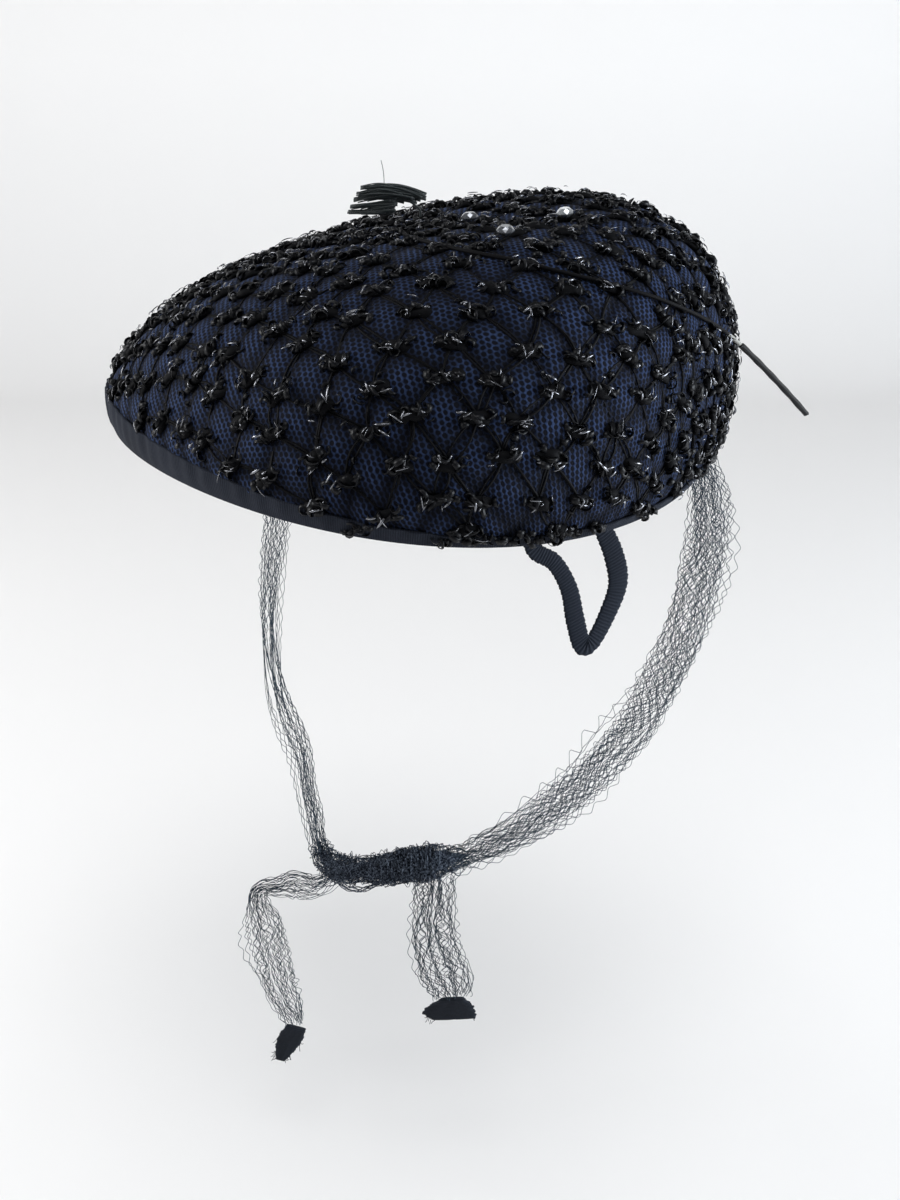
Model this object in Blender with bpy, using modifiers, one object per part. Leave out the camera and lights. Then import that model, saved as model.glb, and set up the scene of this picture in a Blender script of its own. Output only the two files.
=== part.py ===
"""A veil-tied cocktail hat: a stiff oval dome with a ribbon-bound rim, a feather quill and
three stones on top, an elastic ribbon loop under the rim, and two gathered net ties that
are knotted below it. Metres, +Z up. The origin is the middle of the head opening."""

import bmesh
import bpy
import numpy as np
from mathutils import Euler, Matrix, Vector

# Crown
CROWN_LENGTH = 0.222
CROWN_WIDTH = 0.200
CROWN_DEPTH = 0.0725
CROWN_WALL = 0.0022
RIM_DROOP = 0.0068           # how far both ends of the rim hang below its middle
EGG = 0.16                   # how much wider the rim is toward +Y, as a share of its half width
FULLNESS = 0.092             # swelling of the side, as a share of the rim's radius
APEX_ALONG = 0.63            # highest point, as a share of the half length
APEX_ACROSS = -0.16          # highest point, as a share of the half width
PLAN_POWER = 2.55            # how square the dome's shoulder is in plan
RISE_POWER = 1.62            # how straight the dome rises from the rim
HAT_PITCH = -2.6             # degrees about X, as it is worn
HAT_ROLL = 4.8               # degrees about Y

# Binding
BINDING_THICKNESS = 0.0010
BINDING_INSIDE = 0.008
BINDING_HIGH = 0.0110        # height on the outside where it shows most
FIT_GAP = 0.0004             # between the cloth wall and what wraps it
GAP = 0.0003                 # between pieces that touch

# Quill, tuft and stones
QUILL_DIAMETER = 0.0013
SLEEVE_DIAMETER = 0.0021
SLEEVE_LENGTH = 0.037
SLEEVE_BEARING = -54         # where the free end points, degrees from +Y toward +X
SLEEVE_DIP = 43              # and how far down, degrees
SLEEVE_SAG = 0.06            # how far the sleeve sags at its end, as a share of its length
QUILL_BARE = 0.008           # bare shaft between the crown's edge and the sleeve
TUFT_LENGTH = 0.026
TUFT_HEIGHT = 0.012
TUFT_THICKNESS = 0.0016
TUFT_REACH = (0.61, -0.79, 0.10)   # the way that its barbs point
STONE_DIAMETER = 0.0058
STONE_HEIGHT = 0.0028
TOP_CLEAR = 0.0004           # what lies on the crown rides this much above its facets

# Loop of ribbon
RIBBON_WIDTH = 0.0052
RIBBON_THICKNESS = 0.0010
LOOP_DROP = 0.048
LOOP_SPREAD = 0.026
LOOP_BEARING = 22            # degrees from +Y toward +X
LOOP_CLEAR = 0.0022          # its straight ends stand this much inside the curved binding

# Net ties
TIE_WIDTH = 0.0195
TIE_THICKNESS = 0.0075
TIE_DROP = 0.155             # from the opening down to the knot
KNOT_DIAMETER = 0.0135
TAIL_BEARING = 142.5         # the way that the longer free end leans, degrees from +Y
TAIL_OUT_BEARING = 52.5      # outward from the knot
TAIL_THICKNESS = 0.0050
TAIL_FRONT_LENGTH = 0.085
TAIL_FRONT_WIDTH = 0.0170
TAIL_BACK_LENGTH = 0.0455
TAIL_BACK_WIDTH = 0.0235
TAIL_FRONT_AT = 0.86          # where along the knot the longer free end hangs, as a share
TAIL_BACK_AT = 0.20           # where along the knot the shorter free end hangs, as a share
TAIL_BACK_SINK = 0.0010       # from under the knot to the shorter end's first point
TAB_FRONT_LENGTH = 0.0175
TAB_FRONT_WIDTH = 0.0090
TAB_FRONT_LEAN = 0.32        # sideways along the tails' bearing, for each metre down
TAB_BACK_LENGTH = 0.0095
TAB_BACK_WIDTH = 0.0195
TAB_BACK_LEAN = -0.05
TAB_THICKNESS = 0.0026
TAB_CLEAR = 1.4              # how much of its lean a tab makes up for where it starts

# Meshing
RIM_STEPS = 64
RING_STEPS = 16

# Height of the binding's outer leg round the rim, as a share of BINDING_HIGH
BINDING_ROWS = [
    # bearing, height
    (0, 0.16),
    (30, 0.18),
    (55, 0.38),
    (85, 0.72),
    (118, 1.00),
    (180, 1.00),
    (235, 0.72),
    (290, 0.35),
    (330, 0.16),
    (360, 0.16),
]

# The whole loop of both ties, from the near side of the rim down, through the knot and up
# to the far side. Bearing is in degrees from +Y toward +X, out is a share of the rim's
# radius there, drop a share of TIE_DROP, and facing the bearing that the flat side looks at.
LOOP_ROWS = [
    # bearing, out, drop, facing
    (-30, 0.941, -0.03, -30),
    (-30, 0.955, 0.05, -18),
    (-31, 1.005, 0.19, 18),
    (-32, 1.008, 0.35, 30),
    (-31, 0.945, 0.55, 33),
    (-28, 0.825, 0.75, 38),
    (-19, 0.71, 0.845, 42),
    (3, 0.58, 0.94, 47),
    (25, 0.51, 1.000, 50),
    (33, 0.51, 1.010, 52),
    (40, 0.51, 1.012, 54),
    (48, 0.51, 1.018, 58),
    (62, 0.50, 1.040, 66),
    (80, 0.48, 1.075, 80),
    (92, 0.45, 1.075, 92),
    (99, 0.435, 1.045, 95),
    (111, 0.405, 0.99, 80),
    (140, 0.39, 0.92, 95),
    (160, 0.50, 0.80, 120),
    (179, 0.62, 0.645, 150),
    (193, 0.72, 0.45, 175),
    (203, 0.82, 0.26, 192),
    (208, 0.91, 0.05, 204),
    (209, 0.941, -0.03, 209),
]
KNOT_START = 8               # row where the knot takes over from the near tie
KNOT_END = 15                # row where it gives way to the far tie

# Width and thickness at each of a piece's rows, as shares of its own
NEAR_SHAPE = [
    # width, thick
    (0.70, 0.60),
    (0.74, 0.72),
    (0.98, 0.95),
    (1.04, 1.00),
    (1.00, 1.00),
    (1.05, 1.05),
    (1.00, 1.00),
    (0.80, 1.00),
    (0.55, 0.95),
]
KNOT_SHAPE = [
    # width, thick
    (0.62, 0.58),
    (0.84, 0.85),
    (0.98, 1.00),
    (0.90, 0.90),
    (0.82, 0.80),
    (0.80, 0.78),
    (0.70, 0.65),
    (0.55, 0.52),
]
FAR_SHAPE = [
    # width, thick
    (0.42, 0.90),
    (0.55, 0.95),
    (0.66, 1.00),
    (0.85, 1.00),
    (1.00, 1.00),
    (1.02, 1.00),
    (1.00, 1.00),
    (0.85, 0.80),
    (0.75, 0.60),
]

# Free ends, from under the knot. Side, out and drop are shares of the tail's length, and
# width is a share of its width.
TAIL_FRONT_ROWS = [
    # side, out, drop, width
    (0.000, 0.00, 0.000, 0.35),
    (0.070, 0.03, 0.010, 0.55),
    (0.140, 0.05, -0.015, 0.72),
    (0.210, 0.05, -0.005, 0.52),
    (0.285, 0.05, 0.000, 0.34),
    (0.312, 0.05, 0.060, 0.48),
    (0.275, 0.05, 0.200, 0.90),
    (0.258, 0.05, 0.350, 1.00),
    (0.228, 0.05, 0.520, 0.95),
    (0.188, 0.05, 0.660, 0.66),
    (0.170, 0.05, 0.740, 0.42),
]
TAIL_BACK_ROWS = [
    # side, out, drop, width
    (-0.020, 0.00, 0.00, 0.64),
    (-0.015, 0.04, 0.16, 0.77),
    (-0.010, 0.10, 0.45, 0.86),
    (-0.060, 0.15, 0.68, 1.02),
    (-0.130, 0.17, 0.86, 0.94),
    (-0.150, 0.18, 0.97, 0.72),
]

# Widths along each end tab, as shares of its width
TAB_FRONT_SHAPE = (0.80, 1.00, 0.85, 0.45)
TAB_BACK_SHAPE = (0.45, 0.74, 1.00, 0.92)

# The ribbon loop from its left end to its right one, as shares of its spread and drop
RIBBON_ROWS = [
    # across, down
    (-0.50, 0.00),
    (-0.38, 0.21),
    (-0.08, 0.33),
    (0.14, 0.53),
    (0.25, 0.76),
    (0.37, 0.95),
    (0.53, 0.95),
    (0.75, 0.76),
    (0.88, 0.56),
    (0.79, 0.35),
    (0.60, 0.14),
    (0.50, 0.00),
]

# Where the quill lies over the crown: bearing and rise in degrees
QUILL_ROWS = [
    # bearing, rise
    (169, 77),
    (120, 75),
    (84, 74.5),
    (52, 73.5),
    (26, 69),
    (9, 62.5),
    (-5, 53),
    (-20, 39),
]

STONE_ROWS = [
    # bearing, rise
    (198.5, 88.5),
    (79.5, 80.6),
    (131.5, 81.7),
]

# Outline of the tuft from its foot round: reach and height, as shares of its length and
# height. Its blunt end is toward the crown, and its frayed tips are at the far end.
TUFT_OUTLINE = [
    # reach, height
    (0.04, -0.04),
    (0.04, 0.18),
    (0.10, 0.27),
    (-0.10, 0.50),
    (0.22, 0.80),
    (0.52, 0.83),
    (0.78, 0.72),
    (0.63, 0.58),
    (0.82, 0.52),
    (0.66, 0.42),
    (0.88, 0.30),
    (0.70, 0.24),
    (0.90, 0.14),
    (0.72, 0.13),
    (0.93, 0.02),
    (0.56, 0.03),
    (0.42, 0.12),
    (0.26, 0.03),
    (0.14, 0.10),
]

COLOURS = {
    # name: (red, green, blue, roughness)
    "cloth": (0.012, 0.018, 0.045, 0.75),
    "ribbon": (0.010, 0.012, 0.020, 0.85),
    "elastic": (0.008, 0.013, 0.035, 0.80),
    "quill": (0.020, 0.018, 0.016, 0.40),
    "thread": (0.008, 0.008, 0.009, 0.60),
    "feather": (0.006, 0.012, 0.014, 0.55),
    "stone": (0.80, 0.85, 0.88, 0.05),
    "veil": (0.015, 0.030, 0.050, 0.70),
    "tab": (0.006, 0.008, 0.016, 0.90),
}


def make_material(name):
    """A plain Principled material in the colour and roughness of the named finish."""
    red, green, blue, rough = COLOURS[name]
    material = bpy.data.materials.new(name)
    material.use_nodes = True
    shader = material.node_tree.nodes["Principled BSDF"]
    shader.inputs["Base Color"].default_value = (red, green, blue, 1)
    shader.inputs["Roughness"].default_value = rough
    return material


def add_object(name, mesh, finish, smooth=True):
    """Put a mesh into the hat's collection under its piece's name, in its own material."""
    if smooth:
        mesh.shade_smooth()
        mesh.set_sharp_from_angle(angle=np.radians(50))
    thing = bpy.data.objects.new(name, mesh)
    thing.data.materials.append(make_material(finish))
    bpy.data.collections["veil_tied_hat"].objects.link(thing)
    return thing


def rim_offset(bearing):
    """The rim in plan: an ellipse, wider toward +Y. Bearing in radians from +Y toward +X."""
    across = CROWN_WIDTH / 2 * np.sin(bearing) * (1 + EGG * np.cos(bearing))
    return across, CROWN_LENGTH / 2 * np.cos(bearing)


def crown_point(bearing, rise):
    """A point of the crown's outer face: the rim drawn in toward the highest point as it
    rises, with powers of the sine and cosine of the rise for its shoulder."""
    bearing, rise = np.broadcast_arrays(np.asarray(bearing, float), np.asarray(rise, float))
    shrink = np.cos(rise) ** (2 / PLAN_POWER)
    radius = shrink + FULLNESS * np.sin(2 * rise)
    across, along = rim_offset(bearing)
    x = across * radius + APEX_ACROSS * CROWN_WIDTH / 2 * (1 - shrink)
    y = along * radius + APEX_ALONG * CROWN_LENGTH / 2 * (1 - shrink)
    z = CROWN_DEPTH * np.sin(rise) ** (2 / RISE_POWER) - RIM_DROOP * np.cos(2 * bearing) * shrink
    return np.stack([x, y, z], -1)


def crown_normal(bearing, rise):
    """Outward normal of the crown, from small steps along its two parameters."""
    rise = np.clip(rise, np.radians(2), np.radians(86))
    step = 1e-3
    round_rim = crown_point(bearing + step, rise) - crown_point(bearing - step, rise)
    up_wall = crown_point(bearing, rise + step) - crown_point(bearing, rise - step)
    normal = np.cross(up_wall, round_rim)
    return normal / np.linalg.norm(normal, axis=-1, keepdims=True)


def over_crown(bearing, rise, lift):
    """Points that stand off the crown at bearings and rises in degrees, and the normals."""
    bearing, rise = np.radians(bearing), np.radians(rise)
    normal = crown_normal(bearing, rise)
    return crown_point(bearing, rise) + normal * lift, normal


def tilted(points):
    """The hat's own points turned into the pose that it is worn in."""
    turn = np.array(Euler((np.radians(HAT_PITCH), np.radians(HAT_ROLL), 0)).to_matrix())
    return np.asarray(points) @ turn.T


def smooth_rows(rows, count):
    """A cubic through the rows of a table, at evenly spread places along their order."""
    rows = np.asarray(rows, float)
    last = len(rows) - 1
    place = np.linspace(0, last, count)
    cell = np.minimum(place.astype(int), last - 1)
    t = (place - cell)[:, None]
    before = rows[np.maximum(cell - 1, 0)]
    after = rows[np.minimum(cell + 2, last)]
    start, end = rows[cell], rows[cell + 1]
    return (start + 0.5 * t * (end - before)
            + t ** 2 * (before - 2.5 * start + 2 * end - 0.5 * after)
            + 0.5 * t ** 3 * (3 * start - 3 * end + after - before))


def hung_points(rows):
    """Places below the rim: out from the axis along a bearing, and down from the rim."""
    bearing, out, drop = np.radians(rows[:, 0]), rows[:, 1], rows[:, 2]
    rim = tilted(crown_point(bearing, 0 * bearing))
    down = rim[:, 2] * np.clip(1 - drop, 0, 1) - TIE_DROP * drop
    return np.stack([rim[:, 0] * out, rim[:, 1] * out, down], -1)


def facing_vectors(bearings):
    """Level unit vectors that look along the given bearings in degrees."""
    turn = np.radians(bearings)
    return np.stack([np.sin(turn), np.cos(turn), 0 * turn], -1)


def loft(name, sections, finish, closed=False, smooth=True):
    """A solid skin over rings of points, one ring for each section, capped unless closed."""
    sections = np.asarray(sections)
    count, sides = sections.shape[:2]
    bm = bmesh.new()
    rings = [[bm.verts.new(point) for point in ring] for ring in sections]
    pairs = list(zip(rings, rings[1:]))
    if closed:
        pairs.append((rings[-1], rings[0]))
    for lower, upper in pairs:
        for side in range(sides):
            nxt = (side + 1) % sides
            bm.faces.new((lower[side], lower[nxt], upper[nxt], upper[side]))
    if not closed:
        bm.faces.new(rings[0][::-1])
        bm.faces.new(rings[-1])
    bmesh.ops.recalc_face_normals(bm, faces=bm.faces)
    mesh = bpy.data.meshes.new(name)
    bm.to_mesh(mesh)
    bm.free()
    return add_object(name, mesh, finish, smooth)


def band_sections(path, facing, widths, thicks, sides=10, along=None):
    """Flattened oval sections across a path. Facing is where the flat side looks."""
    if along is None:
        along = np.gradient(path, axis=0)
        along /= np.linalg.norm(along, axis=1, keepdims=True)
    flat = facing - along * np.sum(facing * along, axis=1, keepdims=True)
    flat /= np.linalg.norm(flat, axis=1, keepdims=True)
    wide = np.cross(along, flat)
    turn = np.linspace(0, 2 * np.pi, sides, endpoint=False)[None, :, None]
    return (path[:, None] + wide[:, None] * np.cos(turn) * (widths / 2)[:, None, None]
            + flat[:, None] * np.sin(turn) * (thicks / 2)[:, None, None])


def make_crown():
    """The stiff dome: a sphere's upper half laid onto the crown's formula, then given its
    wall inward."""
    bm = bmesh.new()
    bmesh.ops.create_uvsphere(bm, u_segments=RIM_STEPS, v_segments=2 * RING_STEPS, radius=1)
    lower = [vert for vert in bm.verts if vert.co.z < -1e-4]
    bmesh.ops.delete(bm, geom=lower, context="VERTS")
    for vert in bm.verts:
        bearing = np.arctan2(vert.co.x, vert.co.y)
        rise = np.arcsin(np.clip(vert.co.z, 0, 1))
        vert.co = Vector(crown_point(bearing, rise))
    bmesh.ops.recalc_face_normals(bm, faces=bm.faces)
    mesh = bpy.data.meshes.new("crown")
    bm.to_mesh(mesh)
    bm.free()
    crown = add_object("crown", mesh, "cloth")
    wall = crown.modifiers.new("wall", "SOLIDIFY")
    wall.thickness = CROWN_WALL
    wall.offset = -1
    return crown


def make_binding():
    """Ribbon folded over the rim: an outer leg whose height changes round the hat, a bottom
    and an inner leg, as one closed ring of U sections."""
    bearing = np.linspace(0, 2 * np.pi, RIM_STEPS, endpoint=False)
    table = np.array(BINDING_ROWS)
    high = BINDING_HIGH * np.interp(np.degrees(bearing), table[:, 0], table[:, 1])
    down = np.array([0, 0, -1.0])
    inner_face = CROWN_WALL + FIT_GAP
    outline = []

    def wall_point(height, lift):
        rise = np.arcsin((height / CROWN_DEPTH) ** (RISE_POWER / 2))
        return crown_point(bearing, rise) + crown_normal(bearing, rise) * lift

    outer = FIT_GAP + BINDING_THICKNESS
    for share in (1.0, 0.66, 0.33):
        outline.append(wall_point(high * share, outer))
    outline.append(wall_point(0 * high, outer) + down * (FIT_GAP + BINDING_THICKNESS * 0.4))
    outline.append(wall_point(0 * high, FIT_GAP) + down * outer)
    outline.append(wall_point(0 * high, -inner_face) + down * outer)
    outline.append(wall_point(0 * high, -inner_face - BINDING_THICKNESS) + down * FIT_GAP)
    inside = 0 * high + BINDING_INSIDE
    for share in (0.5, 1.0):
        outline.append(wall_point(inside * share, -inner_face - BINDING_THICKNESS))
    for share in (1.0, 0.5):
        outline.append(wall_point(inside * share, -inner_face))
    outline.append(wall_point(0 * high, -inner_face) + down * FIT_GAP)
    outline.append(wall_point(0 * high, FIT_GAP) + down * FIT_GAP)
    for share in (0.33, 0.66, 1.0):
        outline.append(wall_point(high * share, FIT_GAP))
    return loft("edge_binding", np.stack(outline, 1), "ribbon", closed=True)


def quill_route():
    """Middle line of the quill over the crown, then out past the rim to the sleeve's end."""
    lift = QUILL_DIAMETER / 2 + GAP
    seats = smooth_rows(QUILL_ROWS, 32)
    on_crown = over_crown(seats[:, 0], seats[:, 1], lift + TOP_CLEAR)[0]
    leave = on_crown[-1] - on_crown[-3]
    leave /= np.linalg.norm(leave)
    dip = np.radians(SLEEVE_DIP)
    fall = facing_vectors(np.array([SLEEVE_BEARING]))[0] * np.cos(dip)
    fall[2] = -np.sin(dip)
    halfway = leave + fall
    halfway /= np.linalg.norm(halfway)
    bare = on_crown[-1] + np.outer([0.35, 0.7, 1.0], halfway * QUILL_BARE)
    return on_crown, bare, fall


def tube(name, points, diameter, finish, sides_level=2):
    """A round rod along a list of points, with closed ends."""
    curve = bpy.data.curves.new(name, "CURVE")
    curve.dimensions = "3D"
    curve.bevel_depth = diameter / 2
    curve.bevel_resolution = sides_level
    curve.use_fill_caps = True
    line = curve.splines.new("POLY")
    line.points.add(len(points) - 1)
    for spot, point in zip(line.points, points):
        spot.co = (*point, 1)
    thing = bpy.data.objects.new(name, curve)
    curve.materials.append(make_material(finish))
    bpy.data.collections["veil_tied_hat"].objects.link(thing)
    return thing


def make_quill():
    """The bare shaft, thinner than the thread sleeve that ends it."""
    on_crown, bare, fall = quill_route()
    quill = tube("hat_quill", np.concatenate([on_crown, bare]), QUILL_DIAMETER, "quill")
    start = bare[-1] + fall * 2 * GAP
    steps = np.linspace(0, SLEEVE_LENGTH, 6)[:, None]
    sag = np.array([0.0, 0.0, -SLEEVE_SAG]) * steps ** 2 / SLEEVE_LENGTH
    sleeve = tube("quill_sleeve", start + fall * steps + sag, SLEEVE_DIAMETER, "thread")
    return [quill, sleeve]


def make_tuft():
    """What is left of the feather's vane: a flat frayed leaf that stands on the crown where
    the quill starts."""
    root = over_crown(*QUILL_ROWS[0], GAP + TOP_CLEAR)[0]
    reach = np.array(TUFT_REACH) / np.linalg.norm(TUFT_REACH)
    upright = np.array([0, 0, 1.0]) - reach * reach[2]
    upright /= np.linalg.norm(upright)
    flat = np.cross(reach, upright)
    flat_shape = bpy.data.curves.new("feather_tuft", "CURVE")
    flat_shape.dimensions = "2D"
    flat_shape.fill_mode = "BOTH"
    flat_shape.extrude = TUFT_THICKNESS / 2
    line = flat_shape.splines.new("POLY")
    line.points.add(len(TUFT_OUTLINE) - 1)
    for spot, (side, height) in zip(line.points, TUFT_OUTLINE):
        spot.co = (side * TUFT_LENGTH, height * TUFT_HEIGHT, 0, 1)
    line.use_cyclic_u = True
    flat_shape.materials.append(make_material("feather"))
    tuft = bpy.data.objects.new("feather_tuft", flat_shape)
    bpy.data.collections["veil_tied_hat"].objects.link(tuft)
    columns = np.stack([reach, upright, flat], 1)
    tuft.rotation_euler = Matrix(columns.tolist()).to_euler()
    tuft.location = Vector(root + reach * (QUILL_DIAMETER / 2 + GAP))
    return tuft


def make_stone(number, bearing, rise):
    """A cut stone: a girdle and a table with a ring of facets between them."""
    bm = bmesh.new()
    radius = STONE_DIAMETER / 2
    girdle = STONE_HEIGHT * 0.45
    bmesh.ops.create_cone(bm, cap_ends=True, segments=10, radius1=radius,
                          radius2=radius * 0.55, depth=STONE_HEIGHT - girdle)
    bottom = min(bm.faces, key=lambda face: face.calc_center_median().z)
    grown = bmesh.ops.extrude_face_region(bm, geom=[bottom])
    bmesh.ops.delete(bm, geom=[bottom], context="FACES_ONLY")
    lower = [item for item in grown["geom"] if isinstance(item, bmesh.types.BMVert)]
    bmesh.ops.translate(bm, verts=lower, vec=(0, 0, -girdle))
    bmesh.ops.recalc_face_normals(bm, faces=bm.faces)
    mesh = bpy.data.meshes.new(f"rhinestone_{number}")
    bm.to_mesh(mesh)
    bm.free()
    stone = add_object(f"rhinestone_{number}", mesh, "stone", smooth=False)
    lift = girdle + (STONE_HEIGHT - girdle) / 2 + GAP + TOP_CLEAR
    point, normal = over_crown(bearing, rise, lift)
    stone.rotation_euler = Vector(normal).to_track_quat("Z", "X").to_euler()
    stone.location = Vector(point)
    return stone


def make_loop():
    """The ribbon loop: both ends lie inside the binding, and it hangs in one flat bight."""
    middle = np.radians(LOOP_BEARING)
    spread = LOOP_SPREAD / 2 / (CROWN_LENGTH / 2)
    lift = -(CROWN_WALL + FIT_GAP + BINDING_THICKNESS + GAP + RIBBON_THICKNESS / 2)
    ends = []
    for side in (1, -1):
        bearing = middle + side * spread
        rise = np.radians(3)
        point = crown_point(bearing, rise) + crown_normal(bearing, rise) * (lift - LOOP_CLEAR)
        ends.append(tilted(point))
    centre = (ends[0] + ends[1]) / 2
    level = ends[1] - ends[0]
    level /= np.linalg.norm(level)
    out = facing_vectors(np.array([LOOP_BEARING]))[0]
    path = smooth_rows(RIBBON_ROWS, 34)
    points = (centre + np.outer(path[:, 0], level) * LOOP_SPREAD
              + np.outer(path[:, 1], [0, 0, -1]) * LOOP_DROP)
    facing = np.tile(out, (len(points), 1))
    along = np.gradient(points, axis=0)
    along /= np.linalg.norm(along, axis=1, keepdims=True)
    flat = facing - along * np.sum(facing * along, axis=1, keepdims=True)
    flat /= np.linalg.norm(flat, axis=1, keepdims=True)
    wide = np.cross(along, flat)
    corners = [(1, 1), (-1, 1), (-1, -1), (1, -1)]
    sections = np.stack([points + wide * RIBBON_WIDTH / 2 * a + flat * RIBBON_THICKNESS / 2 * b
                         for a, b in corners], 1)
    return loft("comb_loop", sections, "elastic", smooth=False)


def loop_stretch(first, last, count, start_gap, end_gap):
    """Evenly spaced places on the loop between two of its rows, cut back by a gap at each
    end, with the direction there, the facing, and how far along the rows each one is."""
    steps = 4001
    fine = smooth_rows(LOOP_ROWS, steps)
    points = hung_points(fine)
    along = np.gradient(points, axis=0)
    along /= np.linalg.norm(along, axis=1, keepdims=True)
    length = np.concatenate([[0], np.cumsum(np.linalg.norm(np.diff(points, axis=0), axis=1))])
    place = np.linspace(0, len(LOOP_ROWS) - 1, steps)
    start, end = np.interp([first, last], place, length)
    want = np.linspace(start + start_gap, end - end_gap, count)

    def picked(values):
        return np.stack([np.interp(want, length, column) for column in values.T], 1)

    facing = picked(facing_vectors(fine[:, 3]))
    return picked(points), picked(along), facing, np.interp(want, length, place) - first


def loop_piece(name, first, last, shape, width, thick, count, start_gap, end_gap):
    """A stretch of the loop as the flattened bundle that it fills."""
    points, along, facing, place = loop_stretch(first, last, count, start_gap, end_gap)
    shape = np.array(shape)
    rows = np.arange(len(shape))
    widths = np.interp(place, rows, shape[:, 0]) * width
    thicks = np.interp(place, rows, shape[:, 1]) * thick
    return loft(name, band_sections(points, facing, widths, thicks, along=along), "veil")


def make_ties_and_knot():
    """The two gathered ties and the knot between them, the knot with its wound part."""
    last = len(LOOP_ROWS) - 1
    loop_piece("veil_tie_near", 0, KNOT_START, NEAR_SHAPE, TIE_WIDTH, TIE_THICKNESS,
               30, 0, GAP / 2)
    loop_piece("tie_knot", KNOT_START, KNOT_END, KNOT_SHAPE, KNOT_DIAMETER, KNOT_DIAMETER,
               22, GAP / 2, GAP / 2)
    loop_piece("veil_tie_far", KNOT_END, last, FAR_SHAPE, TIE_WIDTH, TIE_THICKNESS,
               30, GAP / 2, 0)


def knot_frame(share):
    """Middle of the knot at a share of its length, and how far below it its surface is."""
    points, _, _, place = loop_stretch(KNOT_START, KNOT_END, 101, 0, 0)
    index = int(round(share * 100))
    widths = np.array(KNOT_SHAPE)[:, 0]
    below = np.interp(place[index], np.arange(len(widths)), widths) * KNOT_DIAMETER / 2
    return points[index], below


def make_tail(name, share, rows, length, width, count, sink):
    """A free end that hangs from under the knot, with its lower end and the way it points."""
    centre, below = knot_frame(share)
    side, out = facing_vectors(np.array([TAIL_BEARING, TAIL_OUT_BEARING]))
    rows = smooth_rows(rows, count)
    offsets = np.outer(rows[:, 0], side) + np.outer(rows[:, 1], out)
    offsets[:, 2] -= rows[:, 2]
    points = centre + np.array([0, 0, -below - sink]) + offsets * length
    facing = np.tile(out, (count, 1))
    loft(name, band_sections(points, facing, rows[:, 3] * width, 0 * rows[:, 3] + TAIL_THICKNESS),
         "veil")
    return points[-1], side, out


def make_tab(name, start, side, facing, lean, length, width, shape):
    """The folded cloth that ends a tie: a flat block of changing width, which leans a
    little to one side."""
    start_gap = GAP + width * shape[0] / 2 * abs(lean) * TAB_CLEAR
    along = side * lean - np.array([0, 0, 1.0])
    along /= np.linalg.norm(along)
    count = len(shape)
    reach = np.linspace(0, length, count) + start_gap
    path = start + np.outer(reach, along)
    thicks = np.full(count, TAB_THICKNESS)
    sections = band_sections(path, np.tile(facing, (count, 1)), np.array(shape) * width,
                             thicks, sides=12)
    return loft(name, sections, "tab")


def make_tails():
    """The longer free end, which leans out before it hangs, and the shorter one, each with
    its cloth tab."""
    front_sink = TAIL_FRONT_WIDTH * TAIL_FRONT_ROWS[0][3] / 2 + 2 * GAP
    end = make_tail("tail_front", TAIL_FRONT_AT, TAIL_FRONT_ROWS, TAIL_FRONT_LENGTH,
                    TAIL_FRONT_WIDTH, 32, front_sink)
    make_tab("tail_tab_front", *end, TAB_FRONT_LEAN, TAB_FRONT_LENGTH, TAB_FRONT_WIDTH,
             TAB_FRONT_SHAPE)
    end = make_tail("tail_back", TAIL_BACK_AT, TAIL_BACK_ROWS, TAIL_BACK_LENGTH,
                    TAIL_BACK_WIDTH, 16, TAIL_BACK_SINK)
    make_tab("tail_tab_back", *end, TAB_BACK_LEAN, TAB_BACK_LENGTH, TAB_BACK_WIDTH,
             TAB_BACK_SHAPE)


def main():
    for thing in list(bpy.data.objects):
        bpy.data.objects.remove(thing)
    collection = bpy.data.collections.new("veil_tied_hat")
    bpy.context.scene.collection.children.link(collection)

    pose = bpy.data.objects.new("hat_pose", None)
    pose.rotation_euler = (np.radians(HAT_PITCH), np.radians(HAT_ROLL), 0)
    collection.objects.link(pose)
    on_hat = [make_crown(), make_binding(), make_tuft()] + make_quill()
    for number, (bearing, rise) in enumerate(STONE_ROWS, start=1):
        on_hat.append(make_stone(number, bearing, rise))
    for piece in on_hat:
        piece.parent = pose

    make_loop()
    make_ties_and_knot()
    make_tails()


main()
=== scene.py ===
# %% [markdown]
# # A veil-tied cocktail hat
# The hat is a stiff oval dome covered in open net cloth. A second net of shiny black straw lies
# over it in diamonds, with curled loops at every crossing. A feather quill and three cut stones
# sit on top, and two gathered net ties hang from the rim and are knotted below. The plain
# model already has the true sizes, so each step here dresses one of its pieces.

# %% The frame, the tools and the plain model's box
import math

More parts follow.
